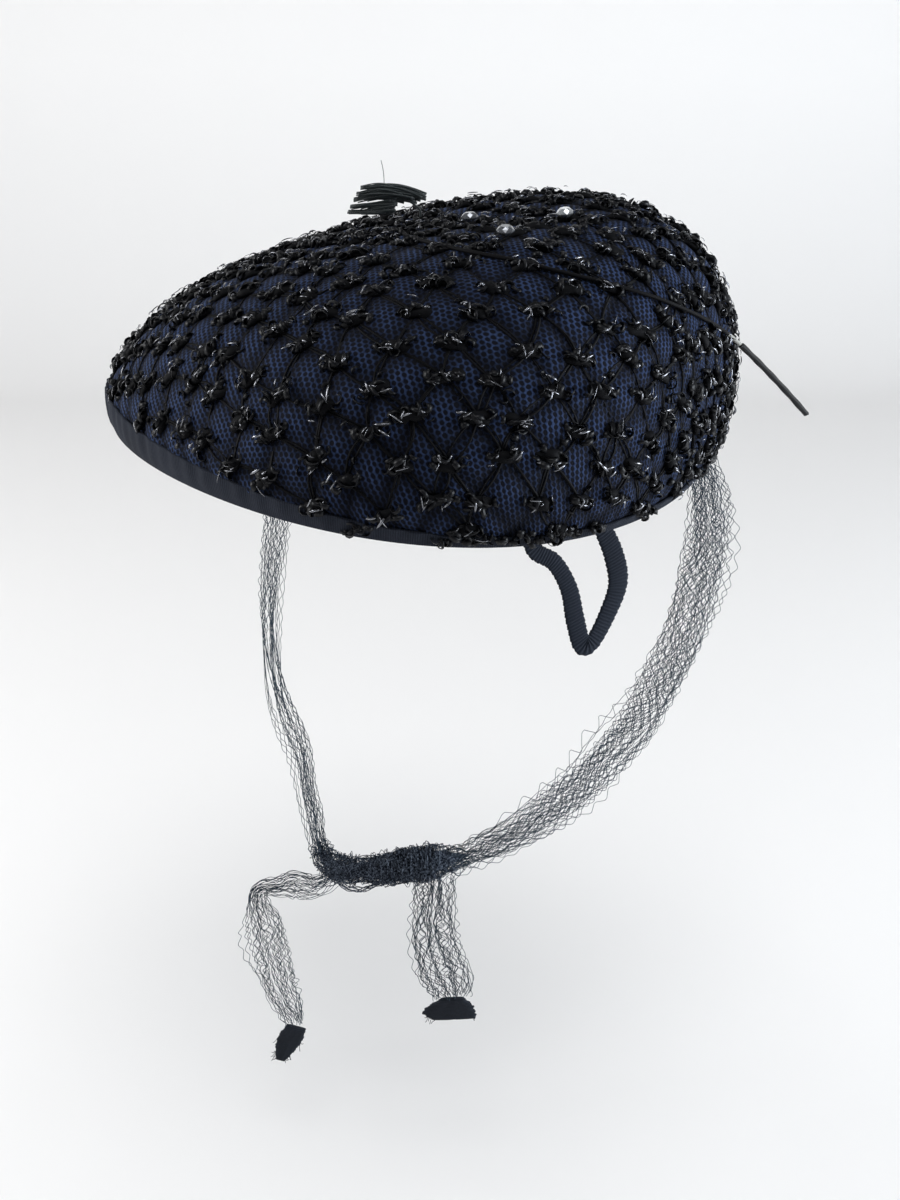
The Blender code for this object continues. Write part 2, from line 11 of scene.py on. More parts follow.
import bpy
import numpy as np
from mathutils import Matrix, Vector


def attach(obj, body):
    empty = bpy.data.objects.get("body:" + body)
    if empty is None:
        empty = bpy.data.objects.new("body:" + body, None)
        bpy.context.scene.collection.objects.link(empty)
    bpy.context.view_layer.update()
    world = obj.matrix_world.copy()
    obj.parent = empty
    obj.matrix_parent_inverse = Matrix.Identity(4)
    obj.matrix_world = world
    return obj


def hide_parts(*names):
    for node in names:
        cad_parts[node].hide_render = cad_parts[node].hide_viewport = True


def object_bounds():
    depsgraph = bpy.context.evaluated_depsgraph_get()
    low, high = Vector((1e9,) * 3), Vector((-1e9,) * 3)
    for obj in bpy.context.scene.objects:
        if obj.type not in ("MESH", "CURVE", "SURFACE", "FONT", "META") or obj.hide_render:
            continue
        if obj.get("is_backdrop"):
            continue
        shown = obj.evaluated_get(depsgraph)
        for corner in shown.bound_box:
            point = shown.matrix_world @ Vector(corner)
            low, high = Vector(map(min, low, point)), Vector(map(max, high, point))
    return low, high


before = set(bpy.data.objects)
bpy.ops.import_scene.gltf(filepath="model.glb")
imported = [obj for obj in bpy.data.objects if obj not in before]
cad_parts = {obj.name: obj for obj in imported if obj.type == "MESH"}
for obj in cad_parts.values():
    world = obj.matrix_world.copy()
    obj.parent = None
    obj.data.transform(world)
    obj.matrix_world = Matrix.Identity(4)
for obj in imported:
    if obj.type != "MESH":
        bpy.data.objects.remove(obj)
cad_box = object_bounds()
print("nodes:", len(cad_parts))

# %% [markdown]
# Every new surface here is a grid of points, so one helper turns arrays into a mesh. It could be
# done with bmesh, a face at a time, but foreach_set takes the whole array at once.


# %% From arrays to a piece that rides on the hat
def build_mesh(name, points, corners, sizes, uv=None, smooth=True, shade=None):
    """A mesh from point places, a flat list of corner numbers and each face's corner count.
    A uv row for each point is handed on to every corner that uses the point, and one number
    for each point can be kept for the finish to read."""
    mesh = bpy.data.meshes.new(name)
    corners = np.asarray(corners, np.int32).ravel()
    starts = np.concatenate([[0], np.cumsum(sizes)[:-1]]).astype(np.int32)
    mesh.vertices.add(len(points))
    mesh.vertices.foreach_set("co", np.asarray(points, np.float32).ravel())
    mesh.loops.add(len(corners))
    mesh.loops.foreach_set("vertex_index", corners)
    mesh.polygons.add(len(starts))
    mesh.polygons.foreach_set("loop_start", starts)
    if uv is not None:
        layer = mesh.uv_layers.new(name="cloth")
        layer.data.foreach_set("uv", np.asarray(uv, np.float32)[corners].ravel())
    # The kept number is painted shade, read by the dome cloth's finish to darken its valleys.
    if shade is not None:
        mesh.attributes.new("shade", "FLOAT", "POINT").data.foreach_set(
            "value", np.asarray(shade, np.float32).ravel())
    mesh.update(calc_edges=True)
    mesh.polygons.foreach_set("use_smooth", np.full(len(starts), smooth))
    mesh.validate()
    return mesh


made_triangles = {}


def add_piece(name, mesh, material, slot, *nodes):
    """Puts a mesh in the scene, gives it its finish and hides the plain pieces it stands for."""
    piece = bpy.data.objects.new(name, mesh)
    mesh.materials.append(material)
    bpy.context.scene.collection.objects.link(piece)
    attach(piece, "root")
    if nodes:
        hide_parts(*nodes)
    made_triangles[name] = len(mesh.loops) - 2 * len(mesh.polygons)
    print(f"{name}: {made_triangles[name]} triangles")
    return piece


def add_swept(name, part, material, slot, *nodes):
    """The same for points, corner numbers, sizes and uv that aren't a mesh yet."""
    return add_piece(name, build_mesh(name, *part), material, slot, *nodes)


def grid_quads(rows, columns, wrap_columns=False, first=0):
    """Corner numbers of the faces between neighbouring rows and columns of a grid."""
    index = np.arange(rows * columns).reshape(rows, columns) + first
    nxt = np.roll(index, -1, 1) if wrap_columns else index[:, 1:]
    here = index if wrap_columns else index[:, :-1]
    return np.stack([here[:-1], nxt[:-1], nxt[1:], here[1:]], -1).reshape(-1, 4)


# %% [markdown]
# Threads, straw loops, ribbons and barbs are all narrow profiles carried along a path. There are
# thousands of them, so one function carries a profile along many paths in a single array.


# %% A profile along many paths at once
def unit(vectors):
    """Vectors scaled to length one."""
    length = np.linalg.norm(vectors, axis=-1, keepdims=True)
    return vectors / np.maximum(length, 1e-12)


def sweep(paths, across, half_wide, half_thick, corners=4, turned=0.5):
    """Each path gets rings of corners. A ring is the path's point, plus the width direction by
    the cosine and the thickness direction by the sine of an angle that goes once round. The
    thickness direction is the cross product of the width and the path's own direction. One path
    by itself will do too."""
    paths = paths.reshape(-1, *paths.shape[-2:])
    along = unit(np.gradient(paths, axis=1))
    side = unit(across - along * np.sum(across * along, -1, keepdims=True))
    rise = np.cross(side, along)
    angle = (np.arange(corners) + turned) / corners * 2 * np.pi
    wide = np.broadcast_to(half_wide, paths.shape[:2])[:, :, None, None]
    thick = np.broadcast_to(half_thick, paths.shape[:2])[:, :, None, None]
    rings = (paths[:, :, None] + side[:, :, None] * np.cos(angle)[:, None] * wide
             + rise[:, :, None] * np.sin(angle)[:, None] * thick)
    count, steps = paths.shape[:2]
    index = np.arange(count * steps * corners).reshape(count, steps, corners)
    here, nxt = index[:, :-1], index[:, 1:]
    walls = np.stack([here, nxt, np.roll(nxt, -1, 2), np.roll(here, -1, 2)], -1).reshape(-1, 4)
    caps = np.concatenate([index[:, 0], index[:, -1, ::-1]])
    numbers = np.concatenate([walls.ravel(), caps.ravel()])
    sizes = np.concatenate([np.full(len(walls), 4), np.full(len(caps), corners)])
    length = np.concatenate([np.zeros((count, 1)), np.cumsum(
        np.linalg.norm(np.diff(paths, axis=1), axis=-1), 1)], 1)
    uv = np.stack(np.broadcast_arrays(length[:, :, None], angle * wide[..., 0]), -1)
    return rings.reshape(-1, 3), numbers, sizes, uv.reshape(-1, 2)


def run_along(route):
    """Length from a route's start to each of its places."""
    return np.concatenate([[0], np.cumsum(np.linalg.norm(np.diff(route, axis=0), axis=1))])


def route_frame(route, facing):
    """The route's own direction, its flat side's direction square to that, and the one across."""
    along = unit(np.gradient(route, axis=0))
    flat = unit(facing - along * np.sum(facing * along, -1, keepdims=True))
    return along, flat, np.cross(along, flat)


def bell(away, half_wide):
    """One at no distance away, and nearly nothing past twice the half width."""
    return np.exp(-(away / half_wide) ** 2)


def joined(*parts):
    """Several sweeps as one: their points in a row, with the corner numbers moved on to suit."""
    points = np.concatenate([part[0] for part in parts])
    firsts = np.cumsum([0] + [len(part[0]) for part in parts[:-1]])
    numbers = np.concatenate([part[1] + first for part, first in zip(parts, firsts)])
    sizes = np.concatenate([part[2] for part in parts])
    uv = np.concatenate([part[3] for part in parts])
    return points, numbers, sizes, uv


# %% [markdown]
# The dome follows the same rule as the plain model: an egg-shaped rim that is drawn in toward an
# off-centre top as it rises. A mesh sculpted by eye would drift from the plain model, so the
# rule is written again here with the same sizes.

# %% Sizes of the hat, in metres and degrees
CROWN_LENGTH, CROWN_WIDTH, CROWN_DEPTH, CROWN_WALL = 0.222, 0.200, 0.0725, 0.0022
RIM_DROOP, EGG, FULLNESS = 0.0068, 0.16, 0.092
APEX_ALONG, APEX_ACROSS = 0.63, -0.16
PLAN_POWER, RISE_POWER = 2.55, 1.62
HAT_PITCH, HAT_ROLL = -2.6, 4.8
VIEW_BEARING = 52.5
UP = np.array([0, 0, 1.0])


def tilted(points):
    """The hat's own points turned into the way that it is worn: a pitch, then a roll."""
    turn = Matrix.Rotation(math.radians(HAT_ROLL), 3, "Y") @ Matrix.Rotation(
        math.radians(HAT_PITCH), 3, "X")
    return np.asarray(points) @ np.array(turn).T


def rim_offset(bearing):
    """The rim in plan: an ellipse that is wider toward +Y. Bearing runs from +Y toward +X."""
    across = CROWN_WIDTH / 2 * np.sin(bearing) * (1 + EGG * np.cos(bearing))
    return across, CROWN_LENGTH / 2 * np.cos(bearing)


def crown_point(bearing, rise):
    """The rim's offset times a radius that shrinks with a power of the rise's cosine and swells
    with the sine of twice the rise, moved toward the top, at a power of its sine in height."""
    bearing, rise = np.broadcast_arrays(np.asarray(bearing, float), np.asarray(rise, float))
    shrink = np.abs(np.cos(rise)) ** (2 / PLAN_POWER)
    radius = shrink + FULLNESS * np.sin(2 * rise)
    across, along = rim_offset(bearing)
    x = across * radius + APEX_ACROSS * CROWN_WIDTH / 2 * (1 - shrink)
    y = along * radius + APEX_ALONG * CROWN_LENGTH / 2 * (1 - shrink)
    z = (CROWN_DEPTH * np.abs(np.sin(rise)) ** (2 / RISE_POWER)
         - RIM_DROOP * np.cos(2 * bearing) * shrink)
    return np.stack([x, y, z], -1)


def crown_normal(bearing, rise):
    """Outward normal: the cross product of a small step up the wall and one round the rim."""
    bearing, rise = np.broadcast_arrays(np.asarray(bearing, float), np.asarray(rise, float))
    rise = np.clip(rise, np.radians(2), np.radians(86))
    step = 1e-3
    round_rim = crown_point(bearing + step, rise) - crown_point(bearing - step, rise)
    up_wall = crown_point(bearing, rise + step) - crown_point(bearing, rise - step)
    return unit(np.cross(up_wall, round_rim))


print("rim to rim:", CROWN_LENGTH, "by", CROWN_WIDTH, "m, deep:", CROWN_DEPTH, "m")

# %% [markdown]
# Cloth that is pulled over a dome keeps its threads nearly straight in its own flat plane. A map
# by height and bearing would crowd the threads at the top. So each point of the cloth is
# named by its distance from the top, measured over the dome, and by the way it lies.

# %% A flat map of the dome, and the way back
TABLE_BEARINGS, TABLE_RISES = 361, 361
table_bearing = np.linspace(0, 2 * np.pi, TABLE_BEARINGS)
table_rise = np.linspace(np.pi / 2, 0, TABLE_RISES)
table_points = crown_point(table_bearing[:, None], table_rise[None])
table_reach = np.concatenate([np.zeros((TABLE_BEARINGS, 1)), np.cumsum(
    np.linalg.norm(np.diff(table_points, axis=1), axis=-1), 1)], 1)
top = crown_point(0, np.pi / 2)
rim_way = table_points[:, -1, :2] - top[:2]
table_way = np.unwrap(np.arctan2(rim_way[:, 0], rim_way[:, 1]))


def flat_place(bearing, rise):
    """Cloth coordinates: distance from the top over the dome, times the sine and cosine of the
    way it lies. The first one grows to the viewer's right and the second toward the viewer."""
    turn = np.mod(bearing, 2 * np.pi)
    way = np.radians(VIEW_BEARING) - np.interp(turn, table_bearing, table_way)
    row = turn / (2 * np.pi) * (TABLE_BEARINGS - 1)
    column = (1 - rise / (np.pi / 2)) * (TABLE_RISES - 1)
    low_row = np.minimum(row.astype(int), TABLE_BEARINGS - 2)
    low_column = np.minimum(column.astype(int), TABLE_RISES - 2)
    a, b = row - low_row, column - low_column
    reach = ((1 - a) * (1 - b) * table_reach[low_row, low_column]
             + a * (1 - b) * table_reach[low_row + 1, low_column]
             + (1 - a) * b * table_reach[low_row, low_column + 1]
             + a * b * table_reach[low_row + 1, low_column + 1])
    return np.stack([reach * np.sin(way), reach * np.cos(way)], -1)


def bearing_of(flat):
    """Bearing that cloth coordinates lie on, from their way by the table."""
    way = np.radians(VIEW_BEARING) - np.arctan2(flat[..., 0], flat[..., 1])
    base = table_way[0]
    return np.interp(np.mod(way - base, 2 * np.pi) + base, table_way, table_bearing)


def from_flat(flat):
    """Bearing and rise of cloth coordinates: the bearing from the way, then the rise by halving
    its range until the distance from the top fits."""
    turn = bearing_of(flat)
    want = np.linalg.norm(flat, axis=-1)
    low, high = np.zeros_like(want), np.full_like(want, np.pi / 2)
    for _ in range(22):
        middle = (low + high) / 2
        far = np.linalg.norm(flat_place(turn, middle), axis=-1)
        low, high = np.where(far > want, middle, low), np.where(far > want, high, middle)
    return turn, (low + high) / 2


GIVE_EVEN, GIVE_HOLLOW, GIVE_KEPT = 0.0016, 0.0036, 0.0018
GIVE_FROM, GIVE_FADE = 9, 14


def give(bearing, rise):
    """How far the cloth lies under the plain model's dome, which stands for cloth and straw
    together. To an even depth, a shallow hollow is added at one side, by a bell in the bearing
    times the sine of twice the rise. Another bell keeps the full form at the quill's side. All
    of it fades out toward the rim."""
    turn = np.degrees(bearing)

    def beside(middle, half_wide):
        return bell(np.mod(turn - middle + 180, 360) - 180, half_wide)

    deep = (GIVE_EVEN + GIVE_HOLLOW * beside(165, 62) * np.sin(2 * rise)
            - GIVE_KEPT * beside(-40, 52) * np.cos(rise))
    return deep * np.clip((np.degrees(rise) - GIVE_FROM) / GIVE_FADE, 0, 1)


def over_dome(flat, lift):
    """Places that stand a given lift off the dome at cloth coordinates, in the worn pose."""
    bearing, rise = from_flat(flat)
    off = np.asarray(lift) - give(bearing, rise)
    return tilted(crown_point(bearing, rise) + crown_normal(bearing, rise) * off[..., None])


print("top to rim over the dome:", np.round(table_reach[::90, -1], 3))

# %% [markdown]
# Finishes come next. The dome's cloth is a knitted mesh: pale blue thread round small dark
# holes, in upright columns. A picture of cloth could be laid on, but a few cosines give the same
# mesh at any size and need no file. They are kept as a group, so that other cloth can use them.


# %% Node helpers and the mesh pattern
def new_material(name, colour, rough, **values):
    """A Principled material with plain values set on its own sockets."""
    material = bpy.data.materials.new(name)
    material.use_nodes = True
    shader = material.node_tree.nodes["Principled BSDF"]
    shader.inputs["Base Color"].default_value = (*colour, 1)
    shader.inputs["Roughness"].default_value = rough
    for socket, value in values.items():
        shader.inputs[socket.replace("_", " ")].default_value = value
    return material, material.node_tree, shader


def math_node(tree, operation, first, second=None, third=None):
    """One Math node, fed by sockets or plain numbers."""
    node = tree.nodes.new("ShaderNodeMath")
    node.operation = operation
    for slot_number, value in enumerate((first, second, third)):
        if value is None:
            continue
        if isinstance(value, (int, float)):
            node.inputs[slot_number].default_value = value
        else:
            tree.links.new(value, node.inputs[slot_number])
    return node.outputs[0]


def ramp_node(tree, factor, stops):
    """A colour ramp with its stops given as position and colour."""
    node = tree.nodes.new("ShaderNodeValToRGB")
    ramp = node.color_ramp
    while len(ramp.elements) < len(stops):
        ramp.elements.new(0.5)
    for element, (position, colour) in zip(ramp.elements, stops):
        element.position = position
        element.color = (*colour, 1)
    tree.links.new(factor, node.inputs[0])
    return node.outputs[0]


def noise_node(tree, vector, scale, detail=3.0, rough=0.55):
    """Soft noise over a vector."""
    node = tree.nodes.new("ShaderNodeTexNoise")
    node.inputs["Scale"].default_value = scale
    node.inputs["Detail"].default_value = detail
    node.inputs["Roughness"].default_value = rough
    tree.links.new(vector, node.inputs["Vector"])
    return node.outputs["Fac"]


def object_spot(tree):
    """Places in the object's own space, for noise."""
    return tree.nodes.new("ShaderNodeTexCoord").outputs["Object"]


def cloth_uv(tree):
    """The kept uv of the cloth."""
    node = tree.nodes.new("ShaderNodeUVMap")
    node.uv_map = "cloth"
    return node.outputs[0]


def first_of(tree, vector):
    """The first number of a vector."""
    split = tree.nodes.new("ShaderNodeSeparateXYZ")
    tree.links.new(vector, split.inputs[0])
    return split.outputs[0]


def add_bump(tree, shader, height, strength, distance):
    """Bump from a height, linked to the shader's normal."""
    bump = tree.nodes.new("ShaderNodeBump")
    bump.inputs["Strength"].default_value = strength
    bump.inputs["Distance"].default_value = distance
    tree.links.new(height, bump.inputs["Height"])
    tree.links.new(bump.outputs[0], shader.inputs["Normal"])


def shaded(tree, colour, amount):
    """A colour made darker by an amount between nothing and one."""
    node = tree.nodes.new("ShaderNodeVectorMath")
    node.operation = "SCALE"
    tree.links.new(colour, node.inputs[0])
    tree.links.new(amount, node.inputs["Scale"])
    return node.outputs[0]


def make_mesh_group():
    """A knitted mesh: holes stand in columns, each column half a hole lower than its neighbour.
    The product of a cosine across two columns and one down a hole is highest in every hole. A
    cosine across one column is lowest on the ribs between them. Their sum, turned over and cut
    at two levels, gives the thread."""
    group = bpy.data.node_groups.new("knitted mesh", "ShaderNodeTree")
    for socket, way, kind in (("Vector", "INPUT", "Vector"), ("Column", "INPUT", "Float"),
                              ("Hole", "INPUT", "Float"), ("Ribs", "INPUT", "Float"),
                              ("Thread", "OUTPUT", "Float")):
        group.interface.new_socket(name=socket, in_out=way, socket_type="NodeSocket" + kind)
    enter = group.nodes.new("NodeGroupInput")
    leave = group.nodes.new("NodeGroupOutput")
    split = group.nodes.new("ShaderNodeSeparateXYZ")
    group.links.new(enter.outputs["Vector"], split.inputs[0])
    across = math_node(group, "DIVIDE", math_node(group, "MULTIPLY", split.outputs[0], math.pi),
                       enter.outputs["Column"])
    down = math_node(group, "DIVIDE", math_node(group, "MULTIPLY", split.outputs[1], 2 * math.pi),
                     enter.outputs["Hole"])
    holes = math_node(group, "MULTIPLY", math_node(group, "COSINE", across),
                      math_node(group, "COSINE", down))
    ribs = math_node(group, "COSINE", math_node(group, "MULTIPLY", across, 2.0))
    both = math_node(group, "MULTIPLY_ADD", ribs, enter.outputs["Ribs"], holes)
    thread = group.nodes.new("ShaderNodeMapRange")
    thread.interpolation_type = "SMOOTHSTEP"
    for socket, value in (("From Min", 0.30), ("From Max", -0.95)):
        thread.inputs[socket].default_value = value
    group.links.new(both, thread.inputs["Value"])
    group.links.new(thread.outputs["Result"], leave.inputs["Thread"])
    return group


mesh_group = make_mesh_group()


def mesh_cloth(name, ground, thread, column, hole, rough, depth):
    """Pale thread over a dark ground. Noise pulls the pattern off its even places, changes how
    strong the ribs are, and makes whole areas and single stitches lighter or darker. The kept
    number of each point is painted shade: it darkens the cloth in the valleys along the upper
    net's cords. The bump comes from the same mask."""
    material, tree, shader = new_material(name, ground, rough, Specular_IOR_Level=0.12)
    pattern = tree.nodes.new("ShaderNodeGroup")
    pattern.node_tree = mesh_group
    pattern.inputs["Column"].default_value = column
    pattern.inputs["Hole"].default_value = hole
    spot = object_spot(tree)
    pull = tree.nodes.new("ShaderNodeTexNoise")
    pull.inputs["Scale"].default_value = 330.0
    tree.links.new(spot, pull.inputs["Vector"])
    shift = tree.nodes.new("ShaderNodeVectorMath")
    shift.operation = "MULTIPLY_ADD"
    shift.inputs[1].default_value = (0.0011, 0.0011, 0)
    tree.links.new(pull.outputs["Color"], shift.inputs[0])
    tree.links.new(cloth_uv(tree), shift.inputs[2])
    tree.links.new(shift.outputs[0], pattern.inputs["Vector"])
    stitch = noise_node(tree, spot, 800.0)
    slow = noise_node(tree, spot, 14.0)
    tree.links.new(math_node(tree, "MULTIPLY", noise_node(tree, spot, 25.0), 1.5),
                   pattern.inputs["Ribs"])
    # Painted shade: the kept number darkens thread and ground in the valleys along the cords.
    kept = tree.nodes.new("ShaderNodeAttribute")
    kept.attribute_name = "shade"
    level = math_node(tree, "MULTIPLY", math_node(tree, "MULTIPLY_ADD", stitch, 2.4, -0.25),
                      math_node(tree, "MULTIPLY_ADD", slow, 1.6, 0.20))
    level = math_node(tree, "MULTIPLY", level,
                      math_node(tree, "MULTIPLY_ADD", kept.outputs["Fac"], 0.82, 0.18))
    tone = math_node(tree, "MULTIPLY", pattern.outputs["Thread"], level)
    colour = ramp_node(tree, tone, [(0.0, ground), (1.0, thread)])
    colour = shaded(tree, colour, math_node(tree, "MULTIPLY_ADD", kept.outputs["Fac"], 0.55, 0.45))
    tree.links.new(colour, shader.inputs["Base Color"])
    add_bump(tree, shader, pattern.outputs["Thread"], 0.6, depth)
    return material


dome_cloth = mesh_cloth("dome_cloth", (0.0024, 0.0031, 0.0078), (0.026, 0.045, 0.108),
                        column=0.0018, hole=0.0017, rough=0.85, depth=0.00025)
print("finish:", dome_cloth.name)

# %% [markdown]
# The dome itself is one closed shell. Between the cords of the upper net the cloth puffs out
# a little, so every diamond has a soft pillow. The pillow could be a bump in the finish, but real
# height also shows at the edge of the hat.

# %% Where the diamonds of the upper net lie
CELL_WIDE, CELL_HIGH = 0.0172, 0.0106
PILLOW = 0.0012


def wander(flat):
    """How far hand work pulls the diamonds off their even places: slow sums of sines."""
    u, v = flat[..., 0], flat[..., 1]
    return np.stack([
        0.0016 * np.sin(95 * v + 40 * u) + 0.0011 * np.sin(210 * u - 130 * v + 1.0),
        0.0013 * np.sin(80 * u + 0.6) + 0.0009 * np.sin(170 * v + 120 * u + 2.0)], -1)


def diamond_numbers(flat):
    """Two numbers that are whole along the two sets of slanted cords."""
    even = flat + wander(flat)
    a, b = even[..., 0] / CELL_WIDE, even[..., 1] / (2 * CELL_HIGH)
    return a + b, a - b


def pillow(flat):
    """Height of the puffed cloth: nothing on a cord, most in the middle of a diamond."""
    first, second = diamond_numbers(flat)
    return PILLOW * np.abs(np.sin(np.pi * first) * np.sin(np.pi * second)) ** 0.55


def from_even(even):
    """Cloth place of an even place of the net: the wander is taken off in a few rounds."""
    flat = np.array(even, float)
    for _ in range(6):
        flat = even - wander(flat)
    return flat


# %% The dome's shell
DOME_ROUND, DOME_UP = 380, 126
EDGE_FADE, HIGHEST_RING = 6, 88.8
dome_bearing = np.linspace(0, 2 * np.pi, DOME_ROUND, endpoint=False)
dome_rise = np.radians(np.linspace(0, HIGHEST_RING, DOME_UP))
rise_grid, bearing_grid = np.meshgrid(dome_rise, dome_bearing, indexing="ij")
dome_flat = flat_place(bearing_grid, rise_grid)
edge_fade = np.clip(np.degrees(rise_grid) / EDGE_FADE, 0, 1)
sunk = give(bearing_grid, rise_grid)
outer = tilted(crown_point(bearing_grid, rise_grid) + crown_normal(bearing_grid, rise_grid)
               * (pillow(dome_flat) * edge_fade - sunk)[..., None])
INNER_STEP = 5
inner_rise, inner_bearing = rise_grid[::INNER_STEP], bearing_grid[::INNER_STEP]
inner = tilted(crown_point(inner_bearing, inner_rise)
               - crown_normal(inner_bearing, inner_rise)
               * (CROWN_WALL + sunk[::INNER_STEP])[..., None])


def capped_dome(rows, apex, flip, first):
    """Faces of rings that close on one top point, turned over for the inside."""
    quads = grid_quads(rows.shape[0], DOME_ROUND, True, first)
    ring = np.arange(DOME_ROUND) + first + (rows.shape[0] - 1) * DOME_ROUND
    fan = np.stack([ring, np.roll(ring, -1), np.full(DOME_ROUND, apex)], -1)
    return (quads[:, ::-1], fan[:, ::-1]) if flip else (quads, fan)


outer_count, inner_count = outer.size // 3, inner.size // 3
outer_top = tilted(top + UP * (PILLOW / 2 - sunk[-1, 0]))
inner_top = tilted(top - UP * (CROWN_WALL + sunk[-1, 0]))
points = np.concatenate([outer.reshape(-1, 3), inner.reshape(-1, 3), [outer_top], [inner_top]])
outer_quads, outer_fan = capped_dome(outer, outer_count + inner_count, True, 0)
inner_quads, inner_fan = capped_dome(inner, outer_count + inner_count + 1, False, outer_count)
lip = np.arange(DOME_ROUND)
lip_next = np.roll(lip, -1)
lip_quads = np.stack([lip, lip_next, lip_next + outer_count, lip + outer_count], -1)
quads = np.concatenate([outer_quads, inner_quads, lip_quads])
fans = np.concatenate([outer_fan, inner_fan])
dome_uv = np.concatenate([dome_flat.reshape(-1, 2), dome_flat[::INNER_STEP].reshape(-1, 2),
                          [[0, 0]], [[0, 0]]])
# Painted shade for each point: low in the valleys along the cords, where the cloth is darkened,
# high on the pillows.
puff = (pillow(dome_flat) / PILLOW) ** 1.5
valley_shade_kept = np.concatenate([puff.ravel(), puff[::INNER_STEP].ravel(), [1.0, 1.0]])
mesh = build_mesh("crown_cloth", points, np.concatenate([quads.ravel(), fans.ravel()]),
                  np.concatenate([np.full(len(quads), 4), np.full(len(fans), 3)]), dome_uv,
                  shade=valley_shade_kept)
add_piece("crown_cloth", mesh, dome_cloth, "cloth", "crown")
volume_sign = np.mean(np.sum(unit(points[:outer_count] - points.mean(0)) * np.array(
    [vert.normal for vert in mesh.vertices[:outer_count]]), -1))
print("outward share of the shell's normals:", round(float(volume_sign), 2))

# %% [markdown]
# The binding is a ribbon folded over the edge: high on the outside at one end of the hat, and
# low at the other. It is the plain model's own profile with many more steps, so that the small
# puckers of a ribbon on a curve can be real.

# %% The binding's finish and shape
BINDING_THICK, BINDING_INSIDE, BINDING_HIGH, FIT_GAP = 0.0010, 0.008, 0.0110, 0.0004
BINDING_ROWS = np.array([(0, 0.16), (30, 0.18), (55, 0.38), (85, 0.72), (118, 1.00), (180, 1.00),
                         (235, 0.72), (290, 0.35), (330, 0.16), (360, 0.16)])
RIBBON_ROUND = 900
RIM_RADIUS, PUCKER = 0.105, 0.00022


def binding_height(bearing):
    """Height of the ribbon's outer leg at a bearing, by straight lines between the rows."""
    return BINDING_HIGH * np.interp(np.degrees(bearing), BINDING_ROWS[:, 0], BINDING_ROWS[:, 1])


def binding_wall(bearing, height, lift):
    """A place a given height up the wall and a lift away from it."""
    rise = np.arcsin(np.clip(height / CROWN_DEPTH, 0, 1) ** (RISE_POWER / 2))
    return crown_point(bearing, rise) + crown_normal(bearing, rise) * np.asarray(lift)[..., None]


ribbon_bearing = np.linspace(0, 2 * np.pi, RIBBON_ROUND, endpoint=False)
ribbon_high = binding_height(ribbon_bearing)
pucker = PUCKER * (np.sin(61 * ribbon_bearing) * np.sin(9 * ribbon_bearing + 1)
                   + np.sin(97 * ribbon_bearing + 2))
zero = 0 * ribbon_bearing
skin_out = FIT_GAP + BINDING_THICK
inner_face = CROWN_WALL + FIT_GAP
profile = []
for share in (1.0, 0.97, 0.8, 0.6, 0.4, 0.2):
    profile.append(binding_wall(ribbon_bearing, ribbon_high * share,
                                skin_out + pucker * (0.4 + share * 0.6)))
for turn in np.radians([0, 30, 60, 90]):
    profile.append(binding_wall(ribbon_bearing, zero, FIT_GAP + BINDING_THICK * np.cos(turn) + zero)
                   - UP * (FIT_GAP + BINDING_THICK * np.sin(turn)))
profile.append(binding_wall(ribbon_bearing, zero, zero - inner_face) - UP * skin_out)
for share in (0.0, 0.5, 1.0):
    profile.append(binding_wall(ribbon_bearing, zero + BINDING_INSIDE * share,
                                zero - inner_face - BINDING_THICK + pucker * share))
for share in (1.0, 0.5, 0.0):
    profile.append(binding_wall(ribbon_bearing, zero + BINDING_INSIDE * share, zero - inner_face))
for share in (0.0, 0.5, 1.0):
    profile.append(binding_wall(ribbon_bearing, ribbon_high * share, zero + FIT_GAP + 0.0001))
profile = tilted(np.stack(profile, 0))
rows = profile.shape[0]
index = np.arange(rows * RIBBON_ROUND).reshape(rows, RIBBON_ROUND)
below, beside = np.roll(index, -1, 0), np.roll(index, -1, 1)
ring_quads = np.stack([index, below, np.roll(below, -1, 1), beside], -1).reshape(-1, 4)
profile_length = np.cumsum(np.linalg.norm(np.diff(profile[:, 0], axis=0, prepend=profile[:1, 0]),
                                          axis=-1))
ribbon_run = ribbon_bearing[None] * RIM_RADIUS
ribbon_uv = np.stack(np.broadcast_arrays(ribbon_run, profile_length[:, None]), -1)


def ribbed_material(name, dark, light, pitch, rough, depth):
    """Grosgrain: fine ribs across the ribbon, with a dusty change of tone."""
    material, tree, shader = new_material(name, dark, rough, Specular_IOR_Level=0.15)
    ribs = math_node(tree, "SINE", math_node(tree, "MULTIPLY", first_of(tree, cloth_uv(tree)),
                                             2 * math.pi / pitch))
    spot = object_spot(tree)
    fuzz = noise_node(tree, spot, 1500.0)
    slow = noise_node(tree, spot, 35.0)
    height = math_node(tree, "ADD", math_node(tree, "MULTIPLY", ribs, 0.35), fuzz)
    tone = math_node(tree, "MULTIPLY_ADD", height, 0.35, math_node(tree, "MULTIPLY", slow, 0.55))
    tree.links.new(ramp_node(tree, tone, [(0.25, dark), (0.75, light)]),
                   shader.inputs["Base Color"])
    add_bump(tree, shader, height, 0.6, depth)
    return material


ribbon_finish = ribbed_material("binding_ribbon", (0.008, 0.010, 0.016), (0.026, 0.031, 0.045),
                                pitch=0.0007, rough=0.9, depth=0.00015)
add_swept("binding_ribbon", (profile.reshape(-1, 3), ring_quads.ravel(),
                             np.full(len(ring_quads), 4), ribbon_uv.reshape(-1, 2)),
          ribbon_finish, "ribbon", "edge_binding")

# %% [markdown]
# The upper net is made of black cellophane straw. Its cords run slantwise, and at each crossing
# the straw is curled into a tuft of flat loops that catch the light. One loop copied everywhere
# would look printed, so every loop gets its own size and lean from a seeded draw.

